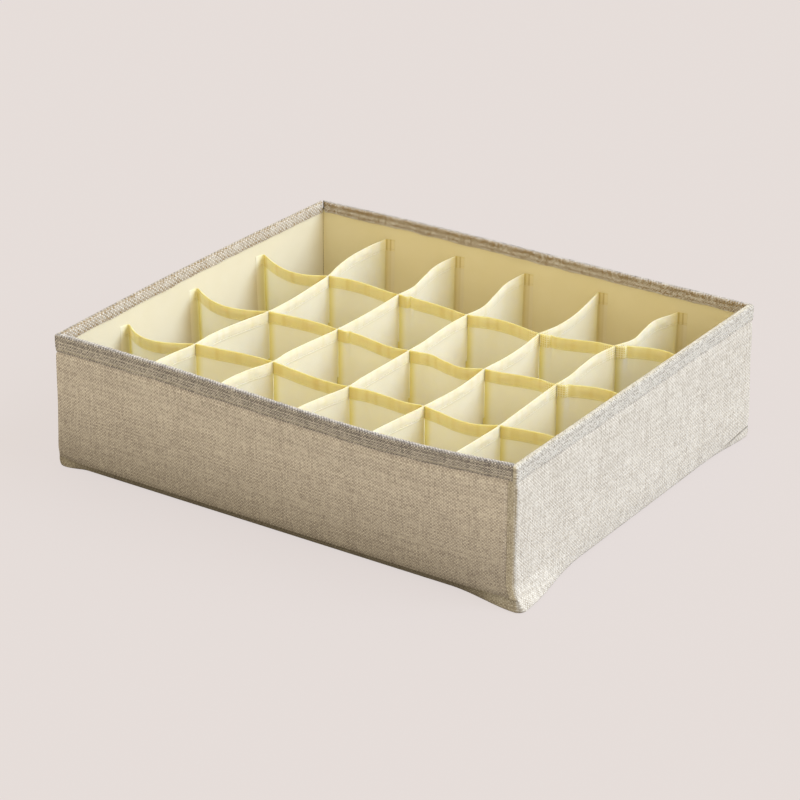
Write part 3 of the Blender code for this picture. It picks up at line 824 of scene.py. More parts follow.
def tucked_ring(first_ring):
    """The base cloth's upper edge, which runs up behind the wall cloth."""
    inwards = MIDDLE - first_ring * (1, 1, 0)
    inwards = np.sign(inwards) * (np.abs(inwards) > np.array((WIDTH, DEPTH, 0)) / 2 - CURL_REACH)
    return first_ring + inwards * (TUCK_DEPTH, TUCK_DEPTH, 0) + UP * TUCK_RISE


def base_panel(material):
    """The base cloth: a flat middle with a rolled edge up to the wall seam."""
    curl = smooth_line(list(zip(CURL_DEPTH_SHARES, CURL_HEIGHT_SHARES)), CURL_STEPS)
    foot = smooth_line(list(zip(FOOT_DEPTH_SHARES, FOOT_HEIGHT_SHARES)), CURL_STEPS)
    levels = np.arange(len(curl)) / (len(curl) - 1)
    rings = [base_ring(*level) for level in zip(curl, foot, levels)]
    rings.insert(0, tucked_ring(rings[0]))
    points = np.stack(rings)
    rows, columns = points.shape[:2]
    faces = grid_faces(rows, columns, closed_columns=True).tolist()
    faces.append(list(range((rows - 1) * columns, rows * columns)))
    travel = arc_lengths(points)
    fall = arc_lengths(points.swapaxes(0, 1)).T
    cloth = np.stack([np.broadcast_to(travel[0], fall.shape), fall], axis=-1)
    thing = mesh_object("woven_base", points, faces, cloth, material)
    flatten_map(thing, faces)
    thicken(thing, OUTER_CLOTH)
    dress(thing, "outer_base_panel")


def flatten_map(thing, faces):
    """The large bottom face takes its map straight from its plan."""
    mesh = thing.data
    bottom = mesh.polygons[len(faces) - 1]
    layer = mesh.uv_layers["cloth"]
    for corner in bottom.loop_indices:
        place = mesh.vertices[mesh.loops[corner].vertex_index].co
        layer.uv[corner].vector = (place.x, place.y)


# Lining


def lining_panel(side, seed, material):
    """The cream cloth on the inner face of one wall."""
    length = SIDE_LENGTHS[side]
    setback = LINING_FACE + LINING_CORNER_GAP
    along = np.linspace(setback, length - setback, steps_for(length, WALL_STEP))
    height = np.linspace(FLOOR_TOP + CLEARANCE, CLOTH_TOP, steps_for(HEIGHT, WALL_STEP))
    along_grid, height_grid = np.meshgrid(along, height)
    bump = WALL_RIPPLE * (ripple(along_grid, height_grid, WALL_RIPPLE_LENGTH, seed) - 1) / 2
    bump = bump * smooth(np.minimum(along_grid, length - along_grid) / LINING_CALM_REACH)
    points = wall_points(side, along_grid, LINING_MIDDLE + bump, height_grid)
    cloth = np.stack([along_grid, height_grid], axis=-1)
    faces = grid_faces(len(height), len(along))
    thing = mesh_object(f"cream_lining_{side}", points, faces, cloth, material)
    thicken(thing, LINING_CLOTH)
    dress(thing, f"lining_{side}")


def lining_floor(material):
    """The cream cloth that lies on the base board."""
    inset = LINING_FACE + CLEARANCE
    x = np.linspace(-WIDTH / 2 + inset, WIDTH / 2 - inset, steps_for(WIDTH, WALL_STEP))
    y = np.linspace(-DEPTH / 2 + inset, DEPTH / 2 - inset, steps_for(DEPTH, WALL_STEP))
    x_grid, y_grid = np.meshgrid(x, y)
    height = np.full_like(x_grid, FLOOR_BOTTOM + LINING_CLOTH / 2)
    points = np.stack([x_grid, y_grid, height], axis=-1) + MIDDLE
    cloth = np.stack([x_grid, y_grid], axis=-1)
    thing = mesh_object("cream_floor", points, grid_faces(len(y), len(x)), cloth, material)
    thicken(thing, LINING_CLOTH)
    dress(thing, "lining_floor")
    WIDTH - 2 * inset
    DEPTH - 2 * inset


# Rim binding


def binding_section(outer_low, inner_low):
    """The folded tape's middle line, as (depth, height), outer leg first."""
    outer = BINDING_CLOTH / 2
    inner = RIM_THICKNESS - BINDING_CLOTH / 2
    top = HEIGHT - BINDING_CLOTH / 2
    shoulder = top - SHOULDER
    points = []
    for share in np.linspace(0, 1, LEG_STEPS + 1)[:-1]:
        press = TAPE_PRESS * (1 - share) ** PRESS_POWER
        points.append((outer + press, lerp(outer_low, shoulder, share)))
    angles = [math.pi / 2 * step / CORNER_STEPS for step in range(CORNER_STEPS + 1)]
    for angle in angles:
        depth = outer + SHOULDER * (1 - math.cos(angle))
        points.append((depth, top - SHOULDER * (1 - math.sin(angle))))
    for angle in angles:
        depth = inner - SHOULDER * (1 - math.sin(angle))
        points.append((depth, top - SHOULDER * (1 - math.cos(angle))))
    points.extend((inner, height) for height in np.linspace(shoulder, inner_low, LEG_STEPS + 1)[1:])
    return np.array(points)


def tape_ends(side, depth):
    """Where a lengthwise row of a tape starts and ends, by the row's depth."""
    length = SIDE_LENGTHS[side]
    half = BINDING_CLOTH / 2
    start = depth + half + TAPE_GAPS[side]
    end = depth + half + TAPE_GAPS[side_after(side)]
    if side_after(side) == COVERING_TAPE:
        end = np.maximum(end, TAPE_COVER + COVER_GAP)
    return start, length - end


def cover_row(side, depth, height, start):
    """The part of a covering tape's row that goes round the corner at its start."""
    before = side_before(side)
    corner = SIDE_LENGTHS[before] - depth - COVER_CORNER
    first = SIDE_LENGTHS[before] - TAPE_COVER
    if corner > first:
        straight = np.linspace(first, corner, COVER_STATIONS)[:-1]
        stations = [(before, along, depth) for along in straight]
        stations.extend(corner_path(before, side, depth, COVER_CORNER))
    else:
        count = CORNER_STEPS + COVER_STATIONS
        stations = [(side, start + COVER_CORNER * step / count, depth) for step in range(count)]
    return np.array([wall_points(*station, height) for station in stations])


def rim_binding(side, seed, material):
    """Tape folded over one wall's top edge, mitred where it meets the next tape."""
    length = SIDE_LENGTHS[side]
    count = steps_for(length, TAPE_STEP)
    share = np.linspace(0, 1, count)
    rng = np.random.default_rng(seed)
    edge = BINDING_EDGE_RIPPLE * ripple(share * length, 0, BINDING_EDGE_LENGTH, seed)
    outer_low = HEIGHT - lerp(*BINDING_HEIGHTS[side], share) - edge
    inner_low = HEIGHT - BINDING_INNER_HEIGHT + edge
    sections = np.array([binding_section(*lows) for lows in zip(outer_low, inner_low)])
    rows = []
    for row in range(sections.shape[1]):
        depth, height = sections[:, row].T
        start, end = tape_ends(side, depth)
        cover = np.empty((0, 3))
        if side == COVERING_TAPE:
            cover = cover_row(side, depth[0], height[0], start[0])
            start = np.maximum(start, depth + COVER_CORNER + TAPE_STEP)
        run = wall_points(side, lerp(start, end, share), depth, height)
        rows.append(np.concatenate([cover, run]))
    points = np.array(rows)
    travel = arc_lengths(points)[len(points) // 2]
    fall = arc_lengths(points[:, count // 2])
    cloth = np.stack(np.meshgrid(travel, fall), axis=-1)
    points = points + rng.normal(0, TAPE_FUZZ, points.shape)
    thing = mesh_object(f"tape_{side}", points, grid_faces(*points.shape[:2]), cloth, material)
    thicken(thing, BINDING_CLOTH, even=False)
    dress(thing, f"rim_binding_{side}")


# Dividers


def grid_point(row, column):
    """A corner of the even grid of cells, from which the crossings drift."""
    x = -WIDTH / 2 + LINING_FACE + CELL_WIDTH * column
    y = DEPTH / 2 - LINING_FACE - CELL_DEPTH * row
    return MIDDLE + (x, y, 0)


def crossing_point(row, column):
    """Where long divider `row` crosses cross divider `column`, counted from 1."""
    drift = CROSSING_DRIFT_SHARES[row - 1][column - 1]
    return grid_point(row, column) + (drift[0] * CELL_WIDTH, drift[1] * CELL_DEPTH, 0)


def crossing_drop(row, column):
    """How far the strips' tops lie under the tops at the walls."""
    return CROSSING_DROP_SHARES[row - 1][column - 1] * (DIVIDER_TOP - DIVIDER_BOTTOM)


def wall_end(side, place, tab_side, height):
    """Plan points of a strip's end, from the bend to the tip of its sewn tab."""
    along = (place - SIDE_STARTS[side]) @ SIDE_ALONG[side]
    angle = math.pi / 2 * np.arange(TAB_STEPS + 1) / TAB_STEPS
    bend_places = along + tab_side * TAB_RADIUS * (1 - np.cos(angle))
    bend_depths = TAB_DEPTH + TAB_RADIUS * (1 - np.sin(angle))
    tip_places = along + tab_side * np.linspace(TAB_RADIUS, TAB_WIDTH, TIP_STEPS + 1)[1:]
    tip_depths = np.linspace(TAB_DEPTH, LINING_FACE + FLAT_TAB_GAP, TIP_STEPS + 1)[1:]
    places = np.concatenate([bend_places, tip_places])
    depths = np.concatenate([bend_depths, tip_depths])
    return wall_points(side, places, depths, height) * (1, 1, 0)


def slack_line(nodes, bows, skews, sideways):
    """The plan of a slack strip through its nodes, with its bows and skews."""
    controls = []
    for start, end, bow, skew in zip(nodes, nodes[1:], bows, skews):
        for share in np.arange(QUARTERS) / QUARTERS:
            reach = bow * math.sin(math.pi * share) + skew * math.sin(math.tau * share)
            controls.append(lerp(start, end, share) + sideways * reach)
    controls.append(nodes[-1])
    return smooth_line(controls, STRIP_STEPS_PER_QUARTER)


class Strip:
    """Everything that tells one divider from another, and its plan and tops."""

    def __init__(self, kind, number):
        self.kind = kind
        self.number = number
        self.name = f"{kind}_divider_{number}"
        if kind == "long":
            count, cell, cell_aside = CROSS_DIVIDER_COUNT, CELL_WIDTH, CELL_DEPTH
            bows, skews, drifts = LONG_BOW_SHARES, LONG_SKEW_SHARES, LONG_END_DRIFT_SHARES
            self.ends = ("left", "right")
            self.tab_sides = (1, -1)
            self.sideways = np.array((0, 1, 0))
            self.seen_sign = -1
        else:
            count, cell, cell_aside = LONG_DIVIDER_COUNT, CELL_DEPTH, CELL_WIDTH
            bows, skews, drifts = CROSS_BOW_SHARES, CROSS_SKEW_SHARES, CROSS_END_DRIFT_SHARES
            self.ends = ("back", "front")
            self.tab_sides = (-1, 1)
            self.sideways = np.array((1, 0, 0))
            self.seen_sign = 1
        self.cells = [self.cell(step) for step in range(1, count + 1)]
        drift = self.sideways * drifts[number - 1] * cell_aside
        self.places = (grid_point(*self.cell(0)) + drift, grid_point(*self.cell(count + 1)))
        self.bows = np.array(bows[number - 1]) * cell
        self.skews = np.array(skews[number - 1]) * cell
        self.low_plan = self.plan(DIVIDER_BOTTOM, BOTTOM_SLACK_SHARE)
        self.high_plan = self.plan(DIVIDER_TOP, 1)
        self.tops = self.top_line()
        self.travel = arc_lengths(self.high_plan)
        fixed = END_STEPS + SPAN_STEPS * np.arange(count + 2)
        self.away = self.travel[:, None] - self.travel[fixed]

    def cell(self, step):
        """Row and column of the strip's place in the lattice after some steps."""
        return (self.number, step) if self.kind == "long" else (step, self.number)

    def plan(self, height, slack_share):
        """The strip's plan at one height: tab, slack run from wall to wall, tab."""
        first = wall_end(self.ends[0], self.places[0], self.tab_sides[0], height)
        last = wall_end(self.ends[1], self.places[1], self.tab_sides[1], height)
        nodes = [first[0], *(crossing_point(*cell) for cell in self.cells), last[0]]
        run = slack_line(nodes, self.bows * slack_share, self.skews * slack_share, self.sideways)
        return np.concatenate([first[:0:-1], run, last[1:]])

    def top_line(self):
        """The height of the strip's top edge at each point of its plan."""
        drops = [0, *(crossing_drop(*cell) for cell in self.cells), 0]
        share = np.arange(SPAN_STEPS) / SPAN_STEPS
        ease = (1 - np.cos(math.pi * share)) / 2
        tops = [np.full(END_STEPS, DIVIDER_TOP)]
        for start, end in zip(drops, drops[1:]):
            tops.append(DIVIDER_TOP - lerp(start, end, ease) - SPAN_SAG * np.sin(math.pi * share))
        tops.append(np.full(END_STEPS + 1, DIVIDER_TOP))
        return np.concatenate(tops)

    def heading(self, plan, crossing):
        """Which way the strip runs at a crossing, on one of its plans."""
        index = END_STEPS + SPAN_STEPS * crossing
        direction = plan[index + 1] - plan[index - 1]
        return direction / np.linalg.norm(direction)

    def thinness(self):
        """The strip's share of its thickness, which fades on its flat tabs."""
        shares = np.ones(len(self.travel))
        fade = np.linspace(FLAT_TAB_SHARE, 1, END_STEPS)
        shares[:END_STEPS] = fade
        shares[-END_STEPS:] = fade[::-1]
        return shares

    def marks(self):
        """How near each plan point lies to a fold or a crossing, and to a net patch."""
        distance = np.abs(self.away)
        net = np.zeros(len(self.travel))
        for crossing, cell in enumerate(self.cells, start=1):
            if cell in NET_CROSSINGS:
                net = np.maximum(net, 1 - smooth(distance[:, crossing] / NET_REACH))
        return np.stack([1 - smooth(distance.min(axis=1) / FOLD_REACH), net], axis=-1)

    def pleats(self):
        """How far the hem stands out at its small pleats, just past a crossing."""
        reach = np.zeros(len(self.travel))
        for crossing, cell in enumerate(self.cells, start=1):
            if self.kind == "long" and cell in PLEAT_CROSSINGS:
                widths = (self.away[:, crossing] - PLEAT_PLACE) / PLEAT_WIDTH
                reach += PLEAT_DEPTH * np.exp(-widths ** 2)
                reach -= PLEAT_DEPTH / 2 * np.exp(-(widths + PLEAT_DIP_WIDTHS) ** 2)
        return reach

    def calm(self):
        """0 at the crossings and the sewn ends, 1 in the middle of each cell."""
        inside = (self.away[:, 0] > 0) & (self.away[:, -1] < 0)
        return np.clip(np.abs(self.away).min(axis=1) / CALM_REACH, 0, 1) ** 2 * inside

    def surface(self, height, offset):
        """Points at arrays of heights and sideways offsets, rows by stations."""
        share = (height - DIVIDER_BOTTOM) / (DIVIDER_TOP - DIVIDER_BOTTOM)
        points = lerp(self.low_plan, self.high_plan, share[..., None])
        heading = np.gradient(points, axis=1)
        heading /= np.linalg.norm(heading, axis=-1, keepdims=True)
        sideways = np.cross(UP, heading) * self.seen_sign
        return points + sideways * offset[..., None] + UP * height[..., None]


def strip_section(strip):
    """Heights and offsets of the strip's closed section, rows by stations.

    It goes up the side that is seen, over the hem's rounded top, and down again.
    """
    hem = strip.tops - HEM_HEIGHT
    stitch = hem + STITCH_RISE
    skin = DIVIDER_CLOTH / 2
    radius = HEM_THICKNESS / 2
    middle = HEM_SEEN - radius
    unevenness = 1 + PUFF_RIPPLE_SHARE * ripple(strip.travel, 0, HEM_PUFF_LENGTH, strip.number)
    puff = HEM_PUFF * strip.calm() * unevenness
    face_low = stitch + FACE_RISE
    face_high = strip.tops - radius
    body_shares = np.linspace(0, 1, BODY_ROWS)
    face_shares = np.linspace(0, 1, FACE_ROWS + 1)
    rows = [(lerp(DIVIDER_BOTTOM, hem - BODY_GAP, share), skin) for share in body_shares]
    for rise, offset in zip(LIP_RISES, (skin, HEM_SEEN * LIP_SHARE, HEM_SEEN)):
        rows.append((hem + rise, offset))
    for rise, groove in ((-GROOVE_REACH, 0), (0, STITCH_GROOVE), (GROOVE_REACH, 0)):
        rows.append((stitch + rise, HEM_SEEN - groove))
    for share in face_shares[:-1]:
        rows.append((lerp(face_low, face_high, share), HEM_SEEN + puff * math.sin(math.pi * share)))
    for step in range(TOP_STEPS + 1):
        angle = math.pi * step / TOP_STEPS
        rows.append((face_high + radius * math.sin(angle), middle + radius * math.cos(angle)))
    for share in face_shares[-2::-1]:
        swell = puff * math.sin(math.pi * share) / 2
        rows.append((lerp(face_low, face_high, share), -HEM_BACK - swell))
    for rise, groove in ((GROOVE_REACH, 0), (0, STITCH_GROOVE / 2), (-GROOVE_REACH, 0)):
        rows.append((stitch + rise, -HEM_BACK + groove))
    for share in body_shares[::-1]:
        rows.append((lerp(DIVIDER_BOTTOM, hem - BODY_GAP, share), -skin))
    height = np.array([np.broadcast_to(row[0], hem.shape) for row in rows])
    offset = np.array([np.broadcast_to(row[1], hem.shape) for row in rows])
    return height, offset * strip.thinness()


def divider(strip, strips, material, sewn_material):
    """One strip of the lattice, with its hem, slots and sewn ends."""
    height, offset = strip_section(strip)
    share = (height - DIVIDER_BOTTOM) / (strip.tops - DIVIDER_BOTTOM)
    sway = STRIP_RIPPLE * ripple(strip.travel, height, STRIP_RIPPLE_LENGTH, STRIP_SEED + strip.number)
    offset = offset + sway * strip.calm() * np.sin(math.pi * share ** SWAY_POWER)
    at_hem = smooth((share - PLEAT_LOW_SHARE) / (1 - PLEAT_LOW_SHARE))
    offset = offset + strip.pleats() * at_hem * strip.seen_sign
    points = strip.surface(height, offset)
    rows, columns = height.shape
    faces = grid_faces(rows, columns, closed_rows=True).tolist()
    faces.append(list(range(0, rows * columns, columns)))
    faces.append(list(range(columns - 1, rows * columns, columns)))
    cloth = np.stack([np.broadcast_to(strip.travel, height.shape), height - strip.tops], axis=-1)
    thing = mesh_object(f"cloth_{strip.name}", points, faces, cloth, material)
    add_map(thing.data, "marks", np.tile(strip.marks(), (rows, 1)))
    thing.data.materials.append(sewn_material)
    sewn = np.ones(columns - 1, dtype=int)
    sewn[END_STEPS:-END_STEPS] = 0
    for face, is_sewn in zip(thing.data.polygons, np.tile(sewn, rows)):
        face.material_index = int(is_sewn)
    mend_normals(thing)
    cut_slots(thing, strip, strips, material)
    dress(thing, strip.name)


def mend_normals(thing):
    """All the faces of a closed mesh look outwards."""
    bm = bmesh.new()
    bm.from_mesh(thing.data)
    bmesh.ops.recalc_face_normals(bm, faces=bm.faces)
    bm.to_mesh(thing.data)
    bm.free()


def cut_slots(thing, strip, strips, material):
    """Slots where the strips pass: open at the top on a long one, else below."""
    bm = bmesh.new()
    for row, column in strip.cells:
        top = DIVIDER_TOP - crossing_drop(row, column)
        meeting = lerp(DIVIDER_BOTTOM, top, SLOT_HEIGHT_SHARE)
        if strip.kind == "long":
            other = strips["cross", column]
            heading = other.heading(other.high_plan, row)
            width = HEM_THICKNESS + 2 * CLEARANCE
            low, high = meeting, DIVIDER_TOP + SLOT_OVERRUN
        else:
            other = strips["long", row]
            heading = other.heading(other.low_plan, column)
            width = DIVIDER_CLOTH + 2 * CLEARANCE
            low, high = DIVIDER_BOTTOM - SLOT_OVERRUN, meeting + CLEARANCE
        across = np.cross(UP, heading)
        for vertex in bmesh.ops.create_cube(bm, size=1)["verts"]:
            x, y, z = vertex.co
            vertex.co = (
                crossing_point(row, column) + heading * x * SLOT_OVERRUN + across * y * width
                + UP * lerp(low, high, z + 0.5)
            )
    mesh = bpy.data.meshes.new("slots")
    bm.to_mesh(mesh)
    bm.free()
    mesh.materials.append(material)
    cutter = bpy.data.objects.new("slots", mesh)
    bpy.context.scene.collection.objects.link(cutter)
    slots = thing.modifiers.new("slots", "BOOLEAN")
    slots.operation = "DIFFERENCE"
    slots.object = cutter
    apply_modifiers(thing)
    bpy.data.objects.remove(cutter)


# Materials


class Value:
    """A number that shader nodes work out, for use in sums and products."""

    def __init__(self, shader, socket):
        self.shader = shader
        self.socket = socket

    def __add__(self, other):
        return self.shader.math("ADD", self, other)

    def __sub__(self, other):
        return self.shader.math("SUBTRACT", self, other)

    def __mul__(self, other):
        return self.shader.math("MULTIPLY", self, other)

    def __truediv__(self, other):
        return self.shader.math("DIVIDE", self, other)

    def __abs__(self):
        return self.shader.math("ABSOLUTE", self)


class Shader:
    """Adds shader nodes to a material or a world, and links them."""

    def __init__(self, owner):
        owner.use_nodes = True
        self.owner = owner
        self.tree = owner.node_tree
        self.surface = self.tree.nodes.get("Principled BSDF")

    def fill(self, node, inputs):
        """The node's inputs, by name or number, take values or other nodes' outputs."""
        for name, value in inputs.items():
            socket = node.inputs[name]
            if isinstance(value, Value):
                value = value.socket
            if isinstance(value, bpy.types.NodeSocket):
                self.tree.links.new(value, socket)
            elif socket.type == "RGBA":
                socket.default_value = (*value, 1)
            else:
                socket.default_value = value

    def node(self, kind, inputs=None, **settings):
        made = self.tree.nodes.new(kind)
        for name, value in settings.items():
            setattr(made, name, value)
        self.fill(made, inputs or {})
        return made

    def math(self, operation, *values, clamp=False):
        inputs = dict(enumerate(values))
        made = self.node("ShaderNodeMath", inputs, operation=operation, use_clamp=clamp)
        return Value(self, made.outputs[0])

    def parts(self, vector):
        """The three numbers of a vector."""
        made = self.node("ShaderNodeSeparateXYZ", {0: vector})
        return [Value(self, output) for output in made.outputs]

    def cloth_map(self, name="cloth"):
        """The two places, in metres, on the flat cloth, or another map's values."""
        return self.parts(self.node("ShaderNodeUVMap", uv_map=name).outputs[0])[:2]

    def vector(self, x, y):
        return self.node("ShaderNodeCombineXYZ", {0: x, 1: y}).outputs[0]

    def noise(self, place, scale, detail):
        made = self.node("ShaderNodeTexNoise", {"Vector": place, "Scale": scale, "Detail": detail})
        return Value(self, made.outputs["Fac"])

    def chance(self, x, y):
        """A random number for each pair of whole numbers."""
        made = self.node("ShaderNodeTexWhiteNoise", {"Vector": self.vector(x, y)})
        return Value(self, made.outputs["Value"])

    def range(self, value, low, high, to_low=0, to_high=1, kind="SMOOTHSTEP"):
        """The value, carried over from one range to another and held inside it."""
        inputs = dict(enumerate((value, low, high, to_low, to_high)))
        return Value(self, self.node("ShaderNodeMapRange", inputs, interpolation_type=kind).outputs[0])

    def mix(self, share, a, b):
        """The colour between a and b."""
        return self.node("ShaderNodeMix", {0: share, 6: a, 7: b}, data_type="RGBA").outputs[2]

    def blend(self, share, a, b):
        """The number between a and b."""
        made = self.node("ShaderNodeMix", {0: share, 2: a, 3: b}, data_type="FLOAT")
        return Value(self, made.outputs[0])

    def join(self, share, a, b):
        """The node that mixes the light of two shading nodes."""
        return self.node("ShaderNodeMixShader", {0: share, 1: a.outputs[0], 2: b.outputs[0]})

    def finish(self, colour, roughness, relief, depth, sheen=0.0):
        """The material, its surface given its colour, its finish and its relief."""
        bump = self.node("ShaderNodeBump", {"Strength": 1, "Distance": depth, "Height": relief})
        self.fill(self.surface, {
            "Base Color": colour,
            "Roughness": roughness,
            "Normal": bump.outputs[0],
            "Sheen Weight": sheen,
            "Sheen Roughness": SHEEN_ROUGHNESS,
            "Specular IOR Level": SPECULAR,
        })
        return self.owner


def darkened(colour, share):
    return tuple(part * share for part in colour)


def stitch_mask(sh, across, aside):
    """1 on the thread of a line of stitches, from its places along and aside."""
    thread = sh.math("LESS_THAN", abs(aside), STITCH_WIDTH / 2)
    step = sh.math("FRACT", across / STITCH_PERIOD)
    return thread * sh.math("LESS_THAN", step, STITCH_SHARE)


def slanted_waves(sh, across, up, period):
    """Waves from -1 to 1 that stand in a slanted net."""
    rising = sh.math("SINE", (across + up) * (math.tau / period))
    falling = sh.math("SINE", (across - up) * (math.tau / period))
    return rising * falling


def yarn_shade(sh, cloth, across, up, warp, weft, over):
    """0 for the darkest and 1 for the lightest yarn, uneven as spun yarn is."""
    place = sh.vector(across, up)
    upright = sh.vector(across, up * SLUB_STRETCH)
    level = sh.vector(across * SLUB_STRETCH, up)
    warp_number = sh.math("FLOOR", warp)
    weft_number = sh.math("FLOOR", weft)
    shade = over * cloth["contrast"] + cloth["middle"]
    # Painted light, lighter near the start of a tape
    shade = shade + sh.range(across, 0, LIFT_REACH, cloth["lift"], 0)
    for value, amount in (
        (sh.chance(warp_number, weft_number), cloth["speckle"]),
        (sh.chance(warp_number, YARN_PLACE), cloth["streak"][0]),
        (sh.chance(YARN_PLACE, weft_number), cloth["streak"][1]),
        (sh.noise(place, CLOUD_SCALE, BROAD_DETAIL), cloth["cloud"]),
        (sh.noise(place, FIBRE_SCALE, FINE_DETAIL), cloth["fibre"]),
        (sh.noise(upright, SLUB_SCALE, FINE_DETAIL), cloth["slub"][0]),
        (sh.noise(level, SLUB_SCALE, FINE_DETAIL), cloth["slub"][1]),
    ):
        shade = (value - 0.5) * amount + shade
    return sh.math("ADD", shade, 0, clamp=True)


def unshaded_share(sh, cloth, across, up):
    """1 where the cloth has its own colour, less where painted shade darkens it: on faces turned to the
    front (lighter at the feet), towards the bottom, beside the corner wrap and along the lower seam.
    """
    # Painted shade on faces turned to the front, lighter towards the feet
    normal = sh.node("ShaderNodeNewGeometry").outputs["Normal"]
    frontness = sh.range(sh.parts(normal)[1], *FRONT_RANGE, 1, 0)
    at_foot = sh.range(abs(across - WIDTH / 2), WIDTH / 2 - FOOT_SHADE_REACH, WIDTH / 2)
    band = sh.blend(at_foot, cloth["front_shade"], cloth["foot_shade"])
    # Painted shade along the lower seam: on faces turned to the front, and elsewhere only by the crease
    # at the back right foot
    from_back_right = abs(across - (WIDTH + DEPTH))
    crease_shade = sh.range(from_back_right, CREASE_REACH / 2, CREASE_REACH, cloth["crease_shade"], 1)
    line = sh.blend(frontness, crease_shade, cloth["seam_shade"])
    unshaded = sh.blend(frontness, 1, band)
    # Painted shade towards the bottom of the cloth
    unshaded = unshaded * sh.range(up, 0, BOTTOM_SHADE_REACH, cloth["fade"], 1, kind="LINEAR")
    # Painted shade beside the corner wrap
    unshaded = unshaded * sh.range(across, CORNER_WRAP, CORNER_WRAP + CORNER_RADIUS, cloth["wrap_shade"], 1)
    return unshaded * sh.range(up, SEAM_LINE, 2 * SEAM_LINE, line, 1)


def woven(name, cloth):
    """Plain weave of uneven yarns: every other crossing has the warp on top."""
    sh = Shader(bpy.data.materials.new(name))
    across, up = sh.cloth_map()
    wander = sh.noise(sh.vector(across, up), WANDER_SCALE, BROAD_DETAIL) - 0.5
    drift = wander * cloth["wander"]
    warp = across / cloth["pitch"][0] + drift
    weft = up / cloth["pitch"][1] - drift
    warp_wave = sh.math("SINE", warp * math.pi)
    weft_wave = sh.math("SINE", weft * math.pi)
    over = warp_wave * weft_wave
    round_back = abs(warp_wave) * abs(weft_wave)
    # Painted shade and golden bounce light on a tape's inner leg, past its top
    inside = sh.range(up, cloth["inside"], cloth["inside"] + SHOULDER)
    dark = sh.mix(inside, cloth["dark"], INSIDE_DARK)
    light = sh.mix(inside, cloth["light"], darkened(cloth["light"], INSIDE_LIGHT_SHARE))
    colour = sh.mix(yarn_shade(sh, cloth, across, up, warp, weft, over), dark, light)
    # Painted shade in the pits between the yarns
    pit = sh.range(round_back, 0, PIT_REACH, cloth["pit"], 1)
    colour = sh.mix(pit, darkened(cloth["dark"], PIT_SHARE), colour)
    # The painted shade: the colour goes towards the shade tint where the share is below 1
    colour = sh.mix(unshaded_share(sh, cloth, across, up), SHADE_TINT, colour)
    height = over * OVER_SHARE + round_back
    if cloth["stitch_rise"]:
        thread = stitch_mask(sh, across, up - cloth["stitch_rise"])
        colour = sh.mix(thread * TAPE_THREAD_SHARE, colour, cloth["thread"])
        height = height + thread
    return sh.finish(colour, WOVEN_ROUGHNESS, height, cloth["relief"], cloth["sheen"])


def soft_cloth(name, cloth):
    """Smooth cream cloth with a faint embossed grain, thin enough to glow."""
    sh = Shader(bpy.data.materials.new(name))
    across, up = sh.cloth_map()
    place = sh.vector(across, up)
    cloud = sh.range(sh.noise(place, CREAM_CLOUD_SCALE, BROAD_DETAIL), *CREAM_CLOUD_RANGE)
    grain = sh.noise(place, CREAM_GRAIN_SCALE, FINE_DETAIL)
    shade = sh.math("ADD", cloud * 0.5, grain * 0.5, clamp=True)
    tint = sh.mix(shade, cloth["deep"], cloth["colour"])
    relief = slanted_waves(sh, across, up, DOT_PERIOD) * DOT_SHARE + grain
    if cloth["hem"]:
        # The doubled hem's colour, with painted shade where its seen side is unlit
        doubled = sh.range(up, -HEM_HEIGHT - HEM_BLUR, -HEM_HEIGHT + HEM_BLUR)
        tint = sh.mix(doubled, tint, cloth["hem"])
        tint = hem_marks(sh, cloth["fold"], across, up, doubled, tint)
        thread = stitch_mask(sh, across, up + (HEM_HEIGHT - STITCH_RISE))
        tint = sh.mix(thread * HEM_THREAD_SHARE, tint, THREAD_TINT)
        relief = relief + thread
        # Painted light: a long tab pales towards its tip, which blends it into the lining beside it
        if cloth["tip"]:
            tint = sh.mix(sh.range(across, 0, TAB_WIDTH), cloth["tip"], tint)
        for place in cloth["tab_stitches"]:
            seam = sh.range(abs(across - place), TAB_STITCH_WIDTH / 2, TAB_STITCH_WIDTH, 1, 0)
            seam = seam * (doubled * TAB_STITCH_HEM_SHARE + TAB_STITCH_SHARE)
            tint = sh.mix(seam, tint, TAB_STITCH_TINT)
    if cloth["glow"]:
        sh.fill(sh.surface, {
            "Subsurface Weight": cloth["glow"],
            "Subsurface Radius": GLOW_SHARES,
            "Subsurface Scale": GLOW_DEPTH,
        })
    return sh.finish(tint, CREAM_ROUGHNESS, relief, CREAM_RELIEF, CREAM_SHEEN)


def hem_marks(sh, fold, across, up, doubled, tint):
    """The hem's colour with painted golden shade at its folds and crossings, the same tint along its
    top ridge and in random bars, and net-like patches whose paleness is painted highlight.
    """
    nearness, net = sh.cloth_map("marks")
    ridge = sh.range(up, -RIDGE_HEIGHT, 0)
    bars = sh.range(sh.noise(sh.vector(across, 0), BAR_SCALE, BAR_DETAIL), *BAR_RANGE)
    netted = sh.range(net, 0, NET_EDGE) * doubled
    specks = sh.range(slanted_waves(sh, across, up, NET_PERIOD), 0, NET_EDGE) * netted
    # The fold tint is painted shade near folds and crossings; the paler net tint is painted highlight
    for share, mark in (
        (nearness * fold, FOLD_TINT),
        (ridge * (fold * RIDGE_SHARE), FOLD_TINT),
        (bars * doubled * (fold * BAR_SHARE), FOLD_TINT),
        (netted * NET_PALE_SHARE, NET_TINT),
        (specks * NET_SHARE, FOLD_TINT),
    ):
        tint = sh.mix(share, tint, mark)
    return tint


